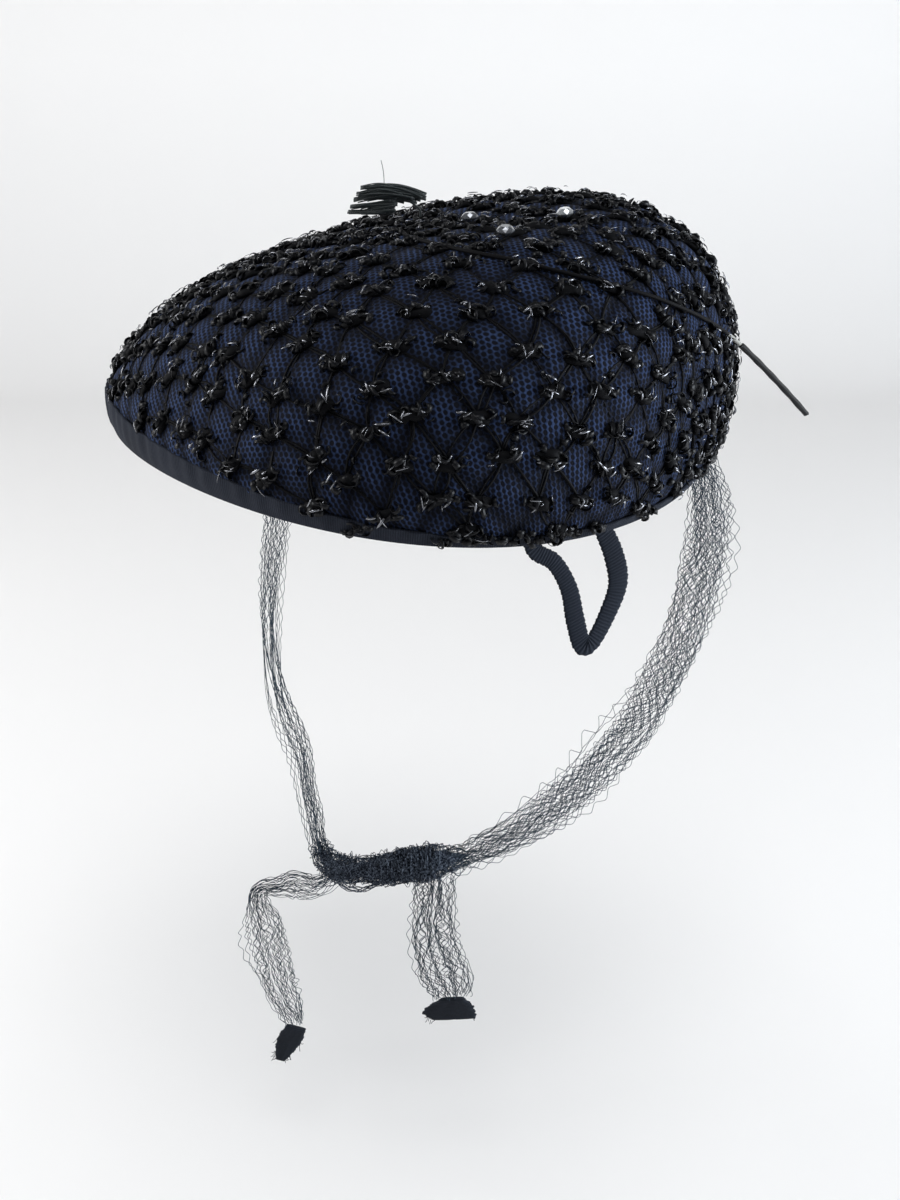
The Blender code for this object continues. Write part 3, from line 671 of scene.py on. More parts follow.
# %% Crossings of the net
random = np.random.default_rng(11)
across_count, down_count = 26, 40
CROSSING_CLEAR, CROSSING_DRIFT = 0.0012, 0.0007
even_places = np.array([(CELL_WIDE * (i + 0.5 * (j % 2)), CELL_HIGH * j)
                        for j in range(-down_count, down_count + 1)
                        for i in range(-across_count, across_count + 1)])
row_number = np.array([j for j in range(-down_count, down_count + 1)
                       for _ in range(-across_count, across_count + 1)])
crossings = from_even(even_places)
crossings += random.normal(0, CROSSING_DRIFT, crossings.shape)


crossing_bearing = bearing_of(crossings)
reach_to_rim = np.interp(crossing_bearing, table_bearing, table_reach[:, -1])
room = reach_to_rim - np.linalg.norm(crossings, axis=-1)
kept = room > binding_height(crossing_bearing) + CROSSING_CLEAR
crossings, crossing_row = crossings[kept], row_number[kept]
print("crossings:", len(crossings))


def local_axes(flat):
    """Along the rows, down the cloth and outward at places on the dome."""
    step = 0.0006
    here = over_dome(flat, np.zeros(flat.shape[:-1]))
    right = over_dome(flat + np.array([step, 0]), np.zeros(flat.shape[:-1])) - here
    out = unit(over_dome(flat, np.full(flat.shape[:-1], step)) - here)
    right = unit(right - out * np.sum(right * out, -1, keepdims=True))
    return here, right, np.cross(right, out), out


# %% The straw's finish
def straw_material(name, colour, rough, shine, metal):
    """Black film with faint creases, so that its highlights break up."""
    material, tree, shader = new_material(name, colour, rough, Specular_IOR_Level=shine,
                                          Metallic=metal)
    add_bump(tree, shader, noise_node(tree, object_spot(tree), 900.0, 2.0), 0.25, 0.0002)
    return material


straw_black = straw_material("straw_black", (0.0030, 0.0034, 0.0050), rough=0.42, shine=0.20,
                             metal=0.0)
straw_glossy = straw_material("straw_glossy", (0.20, 0.205, 0.225), rough=0.24, shine=0.60,
                              metal=0.85)

# %% Curled loops at the crossings
CURLS_EACH, CURL_STEPS, CURL_HALF_WIDE = 8, 8, 0.00085
EDGE_STEP, EDGE_FROM, EDGE_TO, EDGE_KEPT = 2.1, -95, 62, 0.50
FILM_HALF_THICK, LEAF_HALF_THICK = 0.00009, 0.00007


def straw_curls(places, draw, each, spread, smallest, largest, lift=0.0002):
    """Curls of flat straw, in a line along the row. A curl is the greater part of a circle: its
    first direction by the sine and its second by the cosine of an angle. The first direction is
    turned away from the row, and the second tips over from upright, both by a draw."""
    count = len(places) * each
    here, right, lower, out = (np.repeat(part, each, 0) for part in local_axes(places))
    share = np.linspace(-0.5, 0.5, CURL_STEPS)
    order = np.tile((np.arange(each) + 0.5) / each * 2 - 1, len(places))[:, None]
    size = draw.uniform(smallest, largest, (count, 1)) * (1 - 0.25 * order ** 2)
    turn, tip = draw.normal(0.2, 0.9, (count, 1)), draw.normal(0, 0.8, (count, 1))
    first = right * np.cos(turn) + lower * np.sin(turn)
    fallen = lower * np.cos(turn) - right * np.sin(turn)
    second = out * np.cos(tip) + fallen * np.sin(tip)
    middle = (here + right * (order * spread + draw.normal(0, 0.0008, (count, 1)))
              + lower * draw.normal(0, 0.0010, (count, 1))
              + out * (lift + size * (0.25 + 0.50 * np.abs(np.cos(tip)))))
    angle = (share * draw.uniform(3.9, 5.9, (count, 1)))[..., None]
    size = size[..., None]
    paths = (middle[:, None] + first[:, None] * np.sin(angle) * size * 1.1
             + second[:, None] * np.cos(angle) * size * 0.95)
    roll = draw.normal(0, 0.5, (count, 1, 1))
    outward = first[:, None] * np.sin(angle) + second[:, None] * np.cos(angle)
    width_way = np.cross(first, second)[:, None] * np.cos(roll) + outward * np.sin(roll)
    half_wide = CURL_HALF_WIDE * draw.uniform(0.6, 1.5, (count, 1)) * (1.1 - 1.2 * share ** 2)
    return sweep(paths, width_way, half_wide, FILM_HALF_THICK)


near_side = crossings[:, 1] > 0
for name, side, seed in (("straw_curls_near", near_side, 21), ("straw_curls_far", ~near_side, 22)):
    part = straw_curls(crossings[side], np.random.default_rng(seed), each=CURLS_EACH,
                       spread=0.0052, smallest=0.0012, largest=0.0020)
    add_swept(name, part, straw_black, "cloth")
edge_bearing = np.radians(np.arange(EDGE_FROM, EDGE_TO, EDGE_STEP))
draw = np.random.default_rng(23)
edge_rise = np.radians(draw.uniform(0.1, 5.5, edge_bearing.shape))
edge_places = flat_place(edge_bearing, edge_rise)
edge_places = edge_places[draw.random(len(edge_places)) < EDGE_KEPT]
part = straw_curls(edge_places, draw, each=5, spread=0.0026, smallest=0.0009, largest=0.0017,
                   lift=0.0010)
add_swept("straw_edge_curls", part, straw_black, "cloth")


# %% Flat bits of straw that catch the light
def straw_leaves(places, draw, each, spread=0.0045):
    """Short leaf-shaped stretches of film on top of the clumps: a shallow bow whose width is the
    square root of one less its share squared, so that it ends in two points."""
    count = len(places) * each
    here, right, lower, out = (np.repeat(part, each, 0) for part in local_axes(places))
    share = np.linspace(-1, 1, 6)
    heading = draw.normal(-0.35, 0.75, (count, 1))
    first = right * np.cos(heading) + lower * np.sin(heading)
    beside = lower * np.cos(heading) - right * np.sin(heading)
    middle = (here + right * draw.uniform(-spread, spread, (count, 1))
              + lower * draw.normal(0, 0.0014, (count, 1))
              + out * draw.uniform(0.0018, 0.0040, (count, 1)))
    half = draw.uniform(0.0007, 0.0023, (count, 1, 1))
    bow = draw.uniform(0.0001, 0.0007, (count, 1, 1))
    paths = (middle[:, None] + first[:, None] * share[None, :, None] * half
             - out[:, None] * share[None, :, None] ** 2 * bow)
    roll = draw.normal(0, 0.6, (count, 1, 1))
    width_way = beside[:, None] * np.cos(roll) + out[:, None] * np.sin(roll)
    half_wide = draw.uniform(0.00022, 0.00050, (count, 1)) * np.sqrt(1 - (0.98 * share) ** 2)
    return sweep(paths, width_way, half_wide, LEAF_HALF_THICK)


add_swept("straw_leaves", straw_leaves(crossings, np.random.default_rng(24), 4), straw_glossy,
          "cloth")

# %% [markdown]
# Between the crossings runs the straw itself, in two loose strands for each side of a diamond.
# Straight lines would look ruled, so each strand bows a little, and some carry a small curl.

# %% Slanted cords between the crossings
CORD_STEPS, LINKS_CURLED = 7, 0.35
LONGEST_LINK = 1.35 * np.hypot(CELL_WIDE / 2, CELL_HIGH)
DOME_MIDDLE = np.array([0, 0.02, -0.02])


def beside_dome(paths):
    """Directions that lie on the dome, square to the paths."""
    out = unit(paths - tilted(DOME_MIDDLE))
    return unit(np.cross(np.gradient(paths, axis=1), out))


def cord_paths(places, rows, draw):
    """Strands from each crossing to its two neighbours in the next row. A strand's place is a
    straight share between both ends in cloth coordinates, plus a sine bow."""
    starts, ends = [], []
    for number in np.unique(rows):
        here = places[rows == number]
        under = places[rows == number + 1]
        if len(under) == 0:
            continue
        gap = np.linalg.norm(here[:, None] - under[None], axis=-1)
        order = np.argsort(gap, 1)[:, :2]
        for pick in range(min(2, order.shape[1])):
            target = under[order[:, pick]]
            good = np.linalg.norm(target - here, axis=-1) < LONGEST_LINK
            starts.append(here[good])
            ends.append(target[good])
    starts, ends = np.concatenate(starts), np.concatenate(ends)
    link_places = starts + (ends - starts) * draw.uniform(0.35, 0.65, (len(starts), 1))
    starts, ends = np.repeat(starts, 2, 0), np.repeat(ends, 2, 0)
    share = np.linspace(0, 1, CORD_STEPS)[None, :, None]
    bow = draw.normal(0, 0.0009, (len(starts), 1, 2))
    flat = starts[:, None] * (1 - share) + ends[:, None] * share + bow * np.sin(np.pi * share)
    flat += draw.normal(0, 0.0003, (len(starts), 1, 2))
    lift = 0.0001 + draw.uniform(0, 0.0003, (len(starts), 1)) * np.sin(np.pi * share[..., 0])
    lift = lift + pillow(flat) * 0.8
    return over_dome(flat, lift), link_places


cords, link_places = cord_paths(crossings, crossing_row, np.random.default_rng(31))
cord_black = new_material("straw_dull", (0.0022, 0.0024, 0.0034), 0.7,
                          Specular_IOR_Level=0.10)[0]
cord_part = sweep(cords, beside_dome(cords), half_wide=0.00045, half_thick=0.00012, corners=3)
add_swept("straw_cords", cord_part, cord_black, "cloth")
draw = np.random.default_rng(33)
link_places = link_places[draw.random(len(link_places)) < LINKS_CURLED]
part = straw_curls(link_places, draw, each=1, spread=0.001, smallest=0.0006, largest=0.0012)
add_swept("straw_link_curls", part, straw_black, "cloth")

# %% [markdown]
# Inside each clump of loops the straw is packed so tightly that no cloth shows through. Short
# fat lengths of it, lumpy and dull, fill the clump from within.

# %% Packed straw inside the clumps
CORE_STEPS = 8


def core_paths(places, draw, each=1):
    """Short lengths along the row, each one bent a little and lying just on the cloth."""
    count = len(places) * each
    base = np.repeat(places, each, 0)
    share = np.linspace(-1, 1, CORE_STEPS)[None]
    half = draw.uniform(0.0044, 0.0062, (count, 1))
    u = draw.normal(0, 0.0008, (count, 1)) + share * half
    v = draw.normal(0, 0.0005, (count, 1)) + draw.normal(0, 0.0006, (count, 1)) * share
    lift = 0.0006 + 0.0006 * np.cos(share * draw.uniform(2, 5, (count, 1)))
    return over_dome(base[:, None] + np.stack([u, v], -1), lift), share


draw = np.random.default_rng(41)
cores, share = core_paths(crossings, draw)
lumpy = (0.25 + 0.75 * np.sqrt(1 - share ** 2)) * (1 + 0.2 * draw.normal(0, 1, cores.shape[:2]))
core_part = sweep(cores, beside_dome(cores), half_wide=0.0020 * lumpy,
                  half_thick=0.0012 * lumpy, corners=6)
add_swept("straw_cores", core_part, cord_black, "cloth")

# %% [markdown]
# The ties are long strips of fine net, gathered until they are as narrow as two fingers. A flat
# band with a pattern would hide the light that comes through. Here the net's threads
# are modelled: a folded sheet whose neighbouring threads zigzag to meet each other.

# %% The ties' route, as in the plain model
TIE_WIDTH, TIE_THICK, TIE_DROP, KNOT_WIDE = 0.0195, 0.0075, 0.155, 0.0135
KNOT_START, KNOT_END = 8, 15
LOOP_ROWS = np.array([
    # bearing, out, drop, facing
    (-30, 0.941, -0.03, -30), (-30, 0.955, 0.05, -18), (-31, 1.005, 0.19, 18),
    (-32, 1.008, 0.35, 30), (-31, 0.945, 0.55, 33), (-28, 0.825, 0.75, 38),
    (-19, 0.71, 0.845, 42), (3, 0.58, 0.94, 47), (25, 0.51, 1.000, 50),
    (33, 0.51, 1.010, 52), (40, 0.51, 1.012, 54), (48, 0.51, 1.018, 58),
    (62, 0.50, 1.040, 66), (80, 0.48, 1.075, 80), (92, 0.45, 1.075, 92),
    (99, 0.435, 1.045, 95), (111, 0.405, 0.99, 80), (140, 0.39, 0.92, 95),
    (160, 0.50, 0.80, 120), (179, 0.62, 0.645, 150), (193, 0.72, 0.45, 175),
    (203, 0.82, 0.26, 192), (208, 0.91, 0.05, 204), (209, 0.941, -0.03, 209)])


def smooth_rows(rows, count):
    """A cubic through the rows of a table, at evenly spread places along their order."""
    rows = np.asarray(rows, float)
    last = len(rows) - 1
    place = np.linspace(0, last, count)
    cell = np.minimum(place.astype(int), last - 1)
    t = (place - cell)[:, None]
    before, after = rows[np.maximum(cell - 1, 0)], rows[np.minimum(cell + 2, last)]
    start, end = rows[cell], rows[cell + 1]
    return (start + 0.5 * t * (end - before)
            + t ** 2 * (before - 2.5 * start + 2 * end - 0.5 * after)
            + 0.5 * t ** 3 * (3 * start - 3 * end + after - before))


def facing_vectors(bearings):
    """Level unit vectors along bearings in degrees."""
    turn = np.radians(bearings)
    return np.stack([np.sin(turn), np.cos(turn), 0 * turn], -1)


def hung_points(rows):
    """Places below the rim: out from the axis along a bearing, and down from the rim."""
    bearing, out, drop = np.radians(rows[:, 0]), rows[:, 1], rows[:, 2]
    rim = tilted(crown_point(bearing, 0 * bearing))
    low = rim[:, 2] * np.clip(1 - drop, 0, 1) - TIE_DROP * drop
    return np.stack([rim[:, 0] * out, rim[:, 1] * out, low], -1)


def loop_stretch(first, last, count):
    """Evenly spaced places of the loop between two rows: point, facing and row number."""
    steps = 4001
    fine = smooth_rows(LOOP_ROWS, steps)
    route = hung_points(fine)
    length = run_along(route)
    place = np.linspace(0, len(LOOP_ROWS) - 1, steps)
    want = np.linspace(*np.interp([first, last], place, length), count)

    def picked(values):
        return np.stack([np.interp(want, length, column) for column in values.T], 1)

    return picked(route), picked(facing_vectors(fine[:, 3])), np.interp(want, length, place) - first


# %% A gathered net along a route
CELL, TOPS_CUT, ZIG_REACH = 0.0058, 1.35, 0.72


def bent_wave(phase):
    """A triangle wave with its tops cut off: threads run side by side for a while, then part."""
    return np.clip(TOPS_CUT * 2 / np.pi * np.arcsin(np.sin(phase)), -1, 1)


def opened(x, run, wide, count, draw):
    """Pushes threads out of lens-shaped openings. Near an opening's middle along the route, a
    thread moves away from it by the opening's half width, and less the further off it is."""
    for middle_run in np.linspace(0, run.max(), count):
        size = draw.uniform(0.0005, 0.0017)
        here = bell(run - middle_run, draw.uniform(0.0022, 0.0058))
        away = x - draw.uniform(-0.44, 0.44) * wide[None]
        x = x + np.tanh(away / 0.0011) * size * here * np.exp(-np.abs(away) / (1.6 * size))
    return x


def phases(draw, count):
    """A drawn phase for each thread, anywhere in a full turn."""
    return draw.uniform(0, 6.28, (count, 1))


def gathered_net(route, facing, wide, thick, draw, threads=44, folds=7, cell=CELL,
                 thread=0.00012, loose=0.0009, openings=40, wings=(), part=0.0):
    """A sheet folded to and fro across the route. Thread number q sits at a triangle wave of q
    across the width and a straight share of q through the thickness. It zigzags by half a cell,
    each next thread the other way, so that neighbours meet and part. Openings then draw the
    threads together in ropes. A wing is a few threads that stand out past one edge in wide
    cells, on a stretch of the route, as far as a sine of their share of that stretch. Part is
    how far both halves of the sheet are pushed away from each other."""
    along, flat, across = route_frame(route, facing)
    half = (wide / 2)[None]
    run = run_along(route)[None]
    number = np.arange(threads)[:, None]
    q = number / (threads - 1)
    fold = 1 - 2 * np.abs(1 - np.mod(q * folds, 2))
    drift = (1.5 * np.sin(2 * np.pi * q * folds * 0.31 + draw.uniform(0, 6))
             + 1.1 * np.sin(run / 0.017 + 9 * q + draw.uniform(0, 6)))
    drift = drift + 0.6 * np.sin(run / draw.uniform(0.009, 0.017, (threads, 1))
                                 + phases(draw, threads))
    zig = bent_wave(2 * np.pi * run / cell + drift + np.pi * number)
    zig = zig * (0.65 + 0.35 * np.sin(run / 0.0083 + phases(draw, threads)))
    pitch = 2 * folds / threads
    shy = 0.84 + 0.16 * np.sin(run / 0.021 + 2.4 * np.floor(q * folds) + draw.uniform(0, 6))
    x = (fold * (1 - 0.5 * pitch) + zig * pitch * ZIG_REACH) * shy * half * 0.97
    sway = np.sin(run / 0.016 + 5 * q + draw.uniform(0, 6))
    x = x + half * 0.12 * sway * (1 - np.abs(fold))
    deep = (2 * q - 1) * (thick / 2)[None] * 0.85
    for wave in (0.7, 1.7, 3.7):
        x = x + loose * 0.4 * np.sin(wave * run / 0.012 + phases(draw, threads)) / wave
        deep = deep + loose * 0.5 * np.sin(wave * run / 0.011 + phases(draw, threads)) / wave
    x = opened(x, run, wide, openings, draw) + np.sign(fold) * part
    for side, first, last, reach, count, wing_cell in wings:
        stretch = (run / run.max() - first) / (last - first)
        inside = (stretch > 0) & (stretch < 1)
        stand = np.where(inside, np.sin(np.pi * np.clip(stretch, 0, 1)), 0) ** 0.6
        order = np.arange(count)[:, None]
        wave = bent_wave(2 * np.pi * run / wing_cell + np.pi * order
                         + 0.5 * np.sin(run / 0.009 + order))
        out_by = (reach / count) * (order + 0.5 + 0.5 * wave) * stand
        inner = 0.80 + 0.10 * np.sin(run / 0.007 + 2 * order)
        x = np.concatenate([x, side * (half * inner + out_by)])
        low = (0.3 * np.sin(run / 0.013 + order) - 0.2) * thick[None] / 2
        deep = np.concatenate([deep, low + 0.0006 * wave])
    paths = route[None] + across[None] * x[..., None] + flat[None] * deep[..., None]
    return sweep(paths, flat, thread, thread, 3)


def net_material(name, dark, light, grain=220.0, low=0.3, high=0.8):
    """Matte fine thread, greyer where it is dusty."""
    material, tree, shader = new_material(name, dark, 0.9, Specular_IOR_Level=0.08)
    tree.links.new(ramp_node(tree, noise_node(tree, object_spot(tree), grain),
                             [(low, dark), (high, light)]), shader.inputs["Base Color"])
    return material


net_thread = net_material("net_thread", (0.024, 0.036, 0.050), (0.062, 0.084, 0.106))
NEAR_SHAPE = np.array([(0.70, 0.60), (0.74, 0.72), (0.98, 0.95), (1.04, 1.00), (1.00, 1.00),
                       (1.05, 1.05), (1.00, 1.00), (0.80, 1.00), (0.55, 0.95)])
FAR_SHAPE = np.array([(0.42, 0.90), (0.55, 0.95), (0.66, 1.00), (0.85, 1.00), (1.00, 1.00),
                      (1.02, 1.00), (1.00, 1.00), (0.85, 0.80), (0.75, 0.60)])


def shaped(place, shape, wide, thick):
    """Width and thickness along a piece, by straight lines between its rows."""
    numbers = np.arange(len(shape))
    return (np.interp(place, numbers, shape[:, 0]) * wide,
            np.interp(place, numbers, shape[:, 1]) * thick)


INTO_KNOT = 1.2
route, facing, place = loop_stretch(0, KNOT_START + INTO_KNOT, 400)
wide, thick = shaped(place, NEAR_SHAPE, TIE_WIDTH, TIE_THICK)
near_wings = [
    # side, first and last share of the route, how far out, threads, length of a cell
    (-1, 0.02, 0.46, 0.0060, 4, 0.0062), (1, 0.42, 0.95, 0.0058, 1, 0.0095),
    (1, 0.46, 0.90, 0.0026, 2, 0.0064), (-1, 0.50, 0.92, 0.0046, 3, 0.0080)]
near_net = gathered_net(route, facing, wide, thick, np.random.default_rng(51), threads=52, folds=6,
                        openings=80, wings=near_wings)
add_swept("net_tie_near", near_net, net_thread, "veil", "veil_tie_near")
route, facing, place = loop_stretch(KNOT_END - INTO_KNOT, len(LOOP_ROWS) - 1, 320)
wide, thick = shaped(place - INTO_KNOT, FAR_SHAPE, TIE_WIDTH, TIE_THICK)
length = np.linspace(0, 1, len(route))
split = 0.0024 * bell(length - 0.30, 0.10)
far_net = gathered_net(route, facing, wide, thick, np.random.default_rng(52), threads=34, folds=4,
                       loose=0.0005, openings=24, part=split[None])
add_swept("net_tie_far", far_net, net_thread, "veil", "veil_tie_far")
for name, first, last in (("near tie", 0, KNOT_START), ("knot", KNOT_START, KNOT_END),
                          ("far tie", KNOT_END, len(LOOP_ROWS) - 1)):
    print(name, "is", round(float(run_along(loop_stretch(first, last, 400)[0])[-1]), 4), "m long")

# %% [markdown]
# The knot is the same net wound so tightly that it looks solid. A lumpy core stops the light,
# and threads wound round it in slanted turns give it its surface.

# %% Knot core and winding
KNOT_SHAPE = np.array([(0.62, 0.58), (0.84, 0.85), (0.98, 1.00), (0.90, 0.90), (0.82, 0.80),
                       (0.80, 0.78), (0.70, 0.65), (0.55, 0.52)])
CORE_AROUND = 40
route, facing, place = loop_stretch(KNOT_START, KNOT_END, 120)
along, flat, across = route_frame(route, facing)
wide, thick = shaped(place, KNOT_SHAPE, KNOT_WIDE, KNOT_WIDE)
angle = np.linspace(0, 2 * np.pi, CORE_AROUND, endpoint=False)
lumps = 1
for high, round_it, turned in ((0.09, 3, 5.2), (0.07, 2, -7), (0.05, 5, 11), (0.04, 9, -17)):
    lumps = lumps + high * np.sin(round_it * angle + turned * place[:, None])
knot_share = np.linspace(0, 1, len(route))
raised = 0.0019 * np.clip(np.minimum(knot_share / 0.10, (0.93 - knot_share) / 0.16), 0, 1)
route = route + raised[:, None] * UP
wide = wide * (0.86 + 0.12 * bell(knot_share - 0.30, 0.12))
taper = np.sqrt(np.clip(1.003 - np.abs(2 * knot_share - 1) ** 3, 0, 1))
full = 0.60 + 0.34 * bell(knot_share - 0.30, 0.14) - 0.08 * (knot_share > 0.5)
taper = (taper * full)[:, None]
core_wide = np.cos(angle) * wide[:, None] / 2 * lumps * taper
core_thick = np.sin(angle) * thick[:, None] / 2 * lumps * taper
core = (route[:, None] + across[:, None] * core_wide[..., None]
        + flat[:, None] * core_thick[..., None])
index = np.arange(core.size // 3).reshape(core.shape[:2])
nxt = np.roll(index, -1, 1)
core_quads = np.stack([index[:-1], index[1:], nxt[1:], nxt[:-1]], -1).reshape(-1, 4)
ends = np.concatenate([index[0], index[-1][::-1]])
core_part = (core.reshape(-1, 3), np.concatenate([core_quads.ravel(), ends]),
             np.concatenate([np.full(len(core_quads), 4), [CORE_AROUND, CORE_AROUND]]),
             np.zeros((core.size // 3, 2)))


KNOT_MIDDLE = 60
WOUND_THREAD, STRAY_THREAD, SLACK_THREAD = 0.00018, 0.00013, 0.00017


def round_knot(angle, share, lift):
    """A place on the knot at an angle round it and a share along it, a lift off its surface."""
    place = np.clip(share, 0, 1) * (len(route) - 1)
    column = np.arange(len(route))

    def picked(values):
        return np.stack([np.interp(place, column, part) for part in values.T], -1)

    half_wide = np.interp(place, column, wide) / 2 + lift
    half_thick = np.interp(place, column, thick) / 2 + lift
    return (picked(route) + picked(across) * (np.cos(angle) * half_wide)[..., None]
            + picked(flat) * (np.sin(angle) * half_thick)[..., None])


def wound_threads(draw, count, first, last, turns, deepest, highest):
    """Threads round a stretch of the core. Each one's angle grows with its share of the length,
    and zigzags as the net's own threads do. It starts and ends somewhere of its own."""
    share = np.linspace(0, 1, 120)[None]
    start = first + draw.uniform(0, 0.25, (count, 1)) * (last - first)
    end = last - draw.uniform(0, 0.25, (count, 1)) * (last - first)
    sense = np.where(draw.random((count, 1)) < 0.65, 1, -1)
    around = (phases(draw, count) + sense * turns * 2 * np.pi * share
              + 0.24 * bent_wave(2 * np.pi * share * 11 + phases(draw, count)))
    lift = (draw.uniform(deepest, highest, (count, 1))
            + 0.0005 * np.sin(19 * share + phases(draw, count)))
    paths = round_knot(around, start + (end - start) * share, lift)
    return sweep(paths, along[KNOT_MIDDLE], WOUND_THREAD, WOUND_THREAD, 3)


def stray_loops(draw, count):
    """Small loops that stand out of the winding: out and back by a sine."""
    share = np.linspace(0, 1, 9)[None]
    start = draw.uniform(0.02, 0.98, (count, 1))
    angle = phases(draw, count) + draw.normal(0, 0.25, (count, 1)) * share
    lift = draw.uniform(0.0008, 0.0032, (count, 1)) * np.sin(np.pi * share) - 0.0010
    paths = round_knot(angle, start + draw.normal(0, 0.035, (count, 1)) * (share - 0.5), lift)
    return sweep(paths, along[KNOT_MIDDLE] + across[KNOT_MIDDLE] * 0.4, STRAY_THREAD,
                 STRAY_THREAD, 3)


def slack_strands(draw, count):
    """Strands that sag below the winding between two places of it."""
    share = np.linspace(0, 1, 40)[None]
    start = draw.uniform(0.40, 0.46, (count, 1))
    place = start + (draw.uniform(0.80, 0.88, (count, 1)) - start) * share
    path, low = (round_knot(np.full((count, 40), angle), place, 0.0) for angle in (0, np.pi))
    under = np.where(path[..., 2:] < low[..., 2:], path, low)
    sag = draw.uniform(0.0032, 0.0056, (count, 1)) * np.sin(np.pi * share) - 0.0008
    under = under - UP * sag[..., None]
    under = under + flat[KNOT_MIDDLE] * draw.normal(0, 0.0006, (count, 1))[..., None]
    wave = 0.0004 * bent_wave(2 * np.pi * share * 4 + phases(draw, count))
    return sweep(under + UP * wave[..., None], flat[KNOT_MIDDLE], SLACK_THREAD, SLACK_THREAD, 3)


knot_finish = net_material("knot_net", (0.006, 0.009, 0.017), (0.150, 0.180, 0.230),
                           grain=1300.0, low=0.42, high=0.66)
draw = np.random.default_rng(61)
knot = joined(core_part, wound_threads(draw, 60, first=0.0, last=1.0, turns=0.9,
                                       deepest=-0.0020, highest=0.0004),
              wound_threads(draw, 30, first=0.10, last=0.50, turns=1.6, deepest=-0.0004,
                            highest=0.0010), stray_loops(draw, 330), slack_strands(draw, 8))
add_swept("net_knot", knot, knot_finish, "veil", "tie_knot")

# %% [markdown]
# Two free ends leave the knot from below. They are the same net, less tightly gathered, and each
# one ends in a folded tab of plain cloth that keeps it from running.

# %% Free ends
TAIL_BEARING, TAIL_OUT = 142.5, 52.5
TAIL_THICK, GAP = 0.0050, 0.0003
TAIL_FRONT_LENGTH, TAIL_FRONT_WIDTH = 0.085, 0.0170
TAIL_BACK_LENGTH, TAIL_BACK_WIDTH = 0.0455, 0.0235
TAIL_FRONT_AT, TAIL_BACK_AT, TAIL_BACK_SINK = 0.86, 0.20, 0.0010
TAIL_FRONT_ROWS = [
    # side, out, drop, width
    (-0.045, 0.00, -0.035, 0.30), (0.000, 0.00, 0.000, 0.35), (0.070, 0.03, 0.010, 0.55),
    (0.140, 0.05, -0.015, 0.72), (0.210, 0.05, -0.005, 0.52), (0.285, 0.05, 0.000, 0.34),
    (0.312, 0.05, 0.060, 0.48), (0.275, 0.05, 0.200, 0.90), (0.258, 0.05, 0.350, 1.00),
    (0.228, 0.05, 0.520, 0.95), (0.188, 0.05, 0.660, 0.66), (0.170, 0.05, 0.740, 0.42)]
TAIL_BACK_ROWS = [
    (-0.020, 0.00, -0.07, 0.66), (-0.020, 0.00, 0.00, 0.72), (-0.015, 0.04, 0.16, 0.77),
    (-0.010, 0.10, 0.45, 0.86), (-0.060, 0.15, 0.68, 1.02), (-0.130, 0.17, 0.86, 0.94),
    (-0.150, 0.18, 0.97, 0.72)]


def knot_foot(share):
    """Middle of the knot at a share of its length, and how far below it its surface is."""
    middle, _, row = loop_stretch(KNOT_START, KNOT_END, 101)
    number = int(round(share * 100))
    below_it = np.interp(row[number], np.arange(len(KNOT_SHAPE)), KNOT_SHAPE[:, 0])
    return middle[number], below_it * KNOT_WIDE / 2


def tail_route(share, rows, length, width, count, sink):
    """The free end's route: side, out and drop as shares of its length, from under the knot."""
    centre, below_it = knot_foot(share)
    side, out = facing_vectors(np.array([TAIL_BEARING, TAIL_OUT]))
    rows = smooth_rows(rows, count)
    offsets = np.outer(rows[:, 0], side) + np.outer(rows[:, 1], out)
    offsets[:, 2] -= rows[:, 2]
    path = centre - UP * (below_it + sink) + offsets * length
    return path, np.tile(out, (count, 1)), rows[:, 3] * width


def free_end(name, node, route, seed, **habits):
    """One free end's net on its route. The route's last place is handed back for the tab."""
    path, facing, wide = route
    net = gathered_net(path, facing, wide, np.full(len(path), TAIL_THICK * 0.9),
                       np.random.default_rng(seed), **habits)
    add_swept(name, net, net_thread, "veil", node)
    print(name, "is", round(float(run_along(path)[-1]), 4), "m long")
    return path[-1]


front_route = tail_route(TAIL_FRONT_AT, TAIL_FRONT_ROWS, TAIL_FRONT_LENGTH, TAIL_FRONT_WIDTH,
                         count=190, sink=TAIL_FRONT_WIDTH * 0.35 / 2 + 2 * GAP)
front_end = free_end("net_tail_front", "tail_front", front_route, 71, threads=32, folds=3,
                     loose=0.0012, openings=30, wings=[(1, 0.40, 0.74, 0.0050, 4, 0.0058)])
back_route = tail_route(TAIL_BACK_AT, TAIL_BACK_ROWS, TAIL_BACK_LENGTH, TAIL_BACK_WIDTH,
                        count=130, sink=TAIL_BACK_SINK)
back_end = free_end("net_tail_back", "tail_back", back_route, 72, threads=54, folds=4,
                    loose=0.0014, openings=26, wings=[(-1, 0.35, 0.70, 0.0020, 2, 0.0070)])

# %% Folded cloth tabs
TAB_THICK, TAB_CLEAR = 0.0026, 1.4
FRAYS, FRAY_THREAD = 18, 0.00013


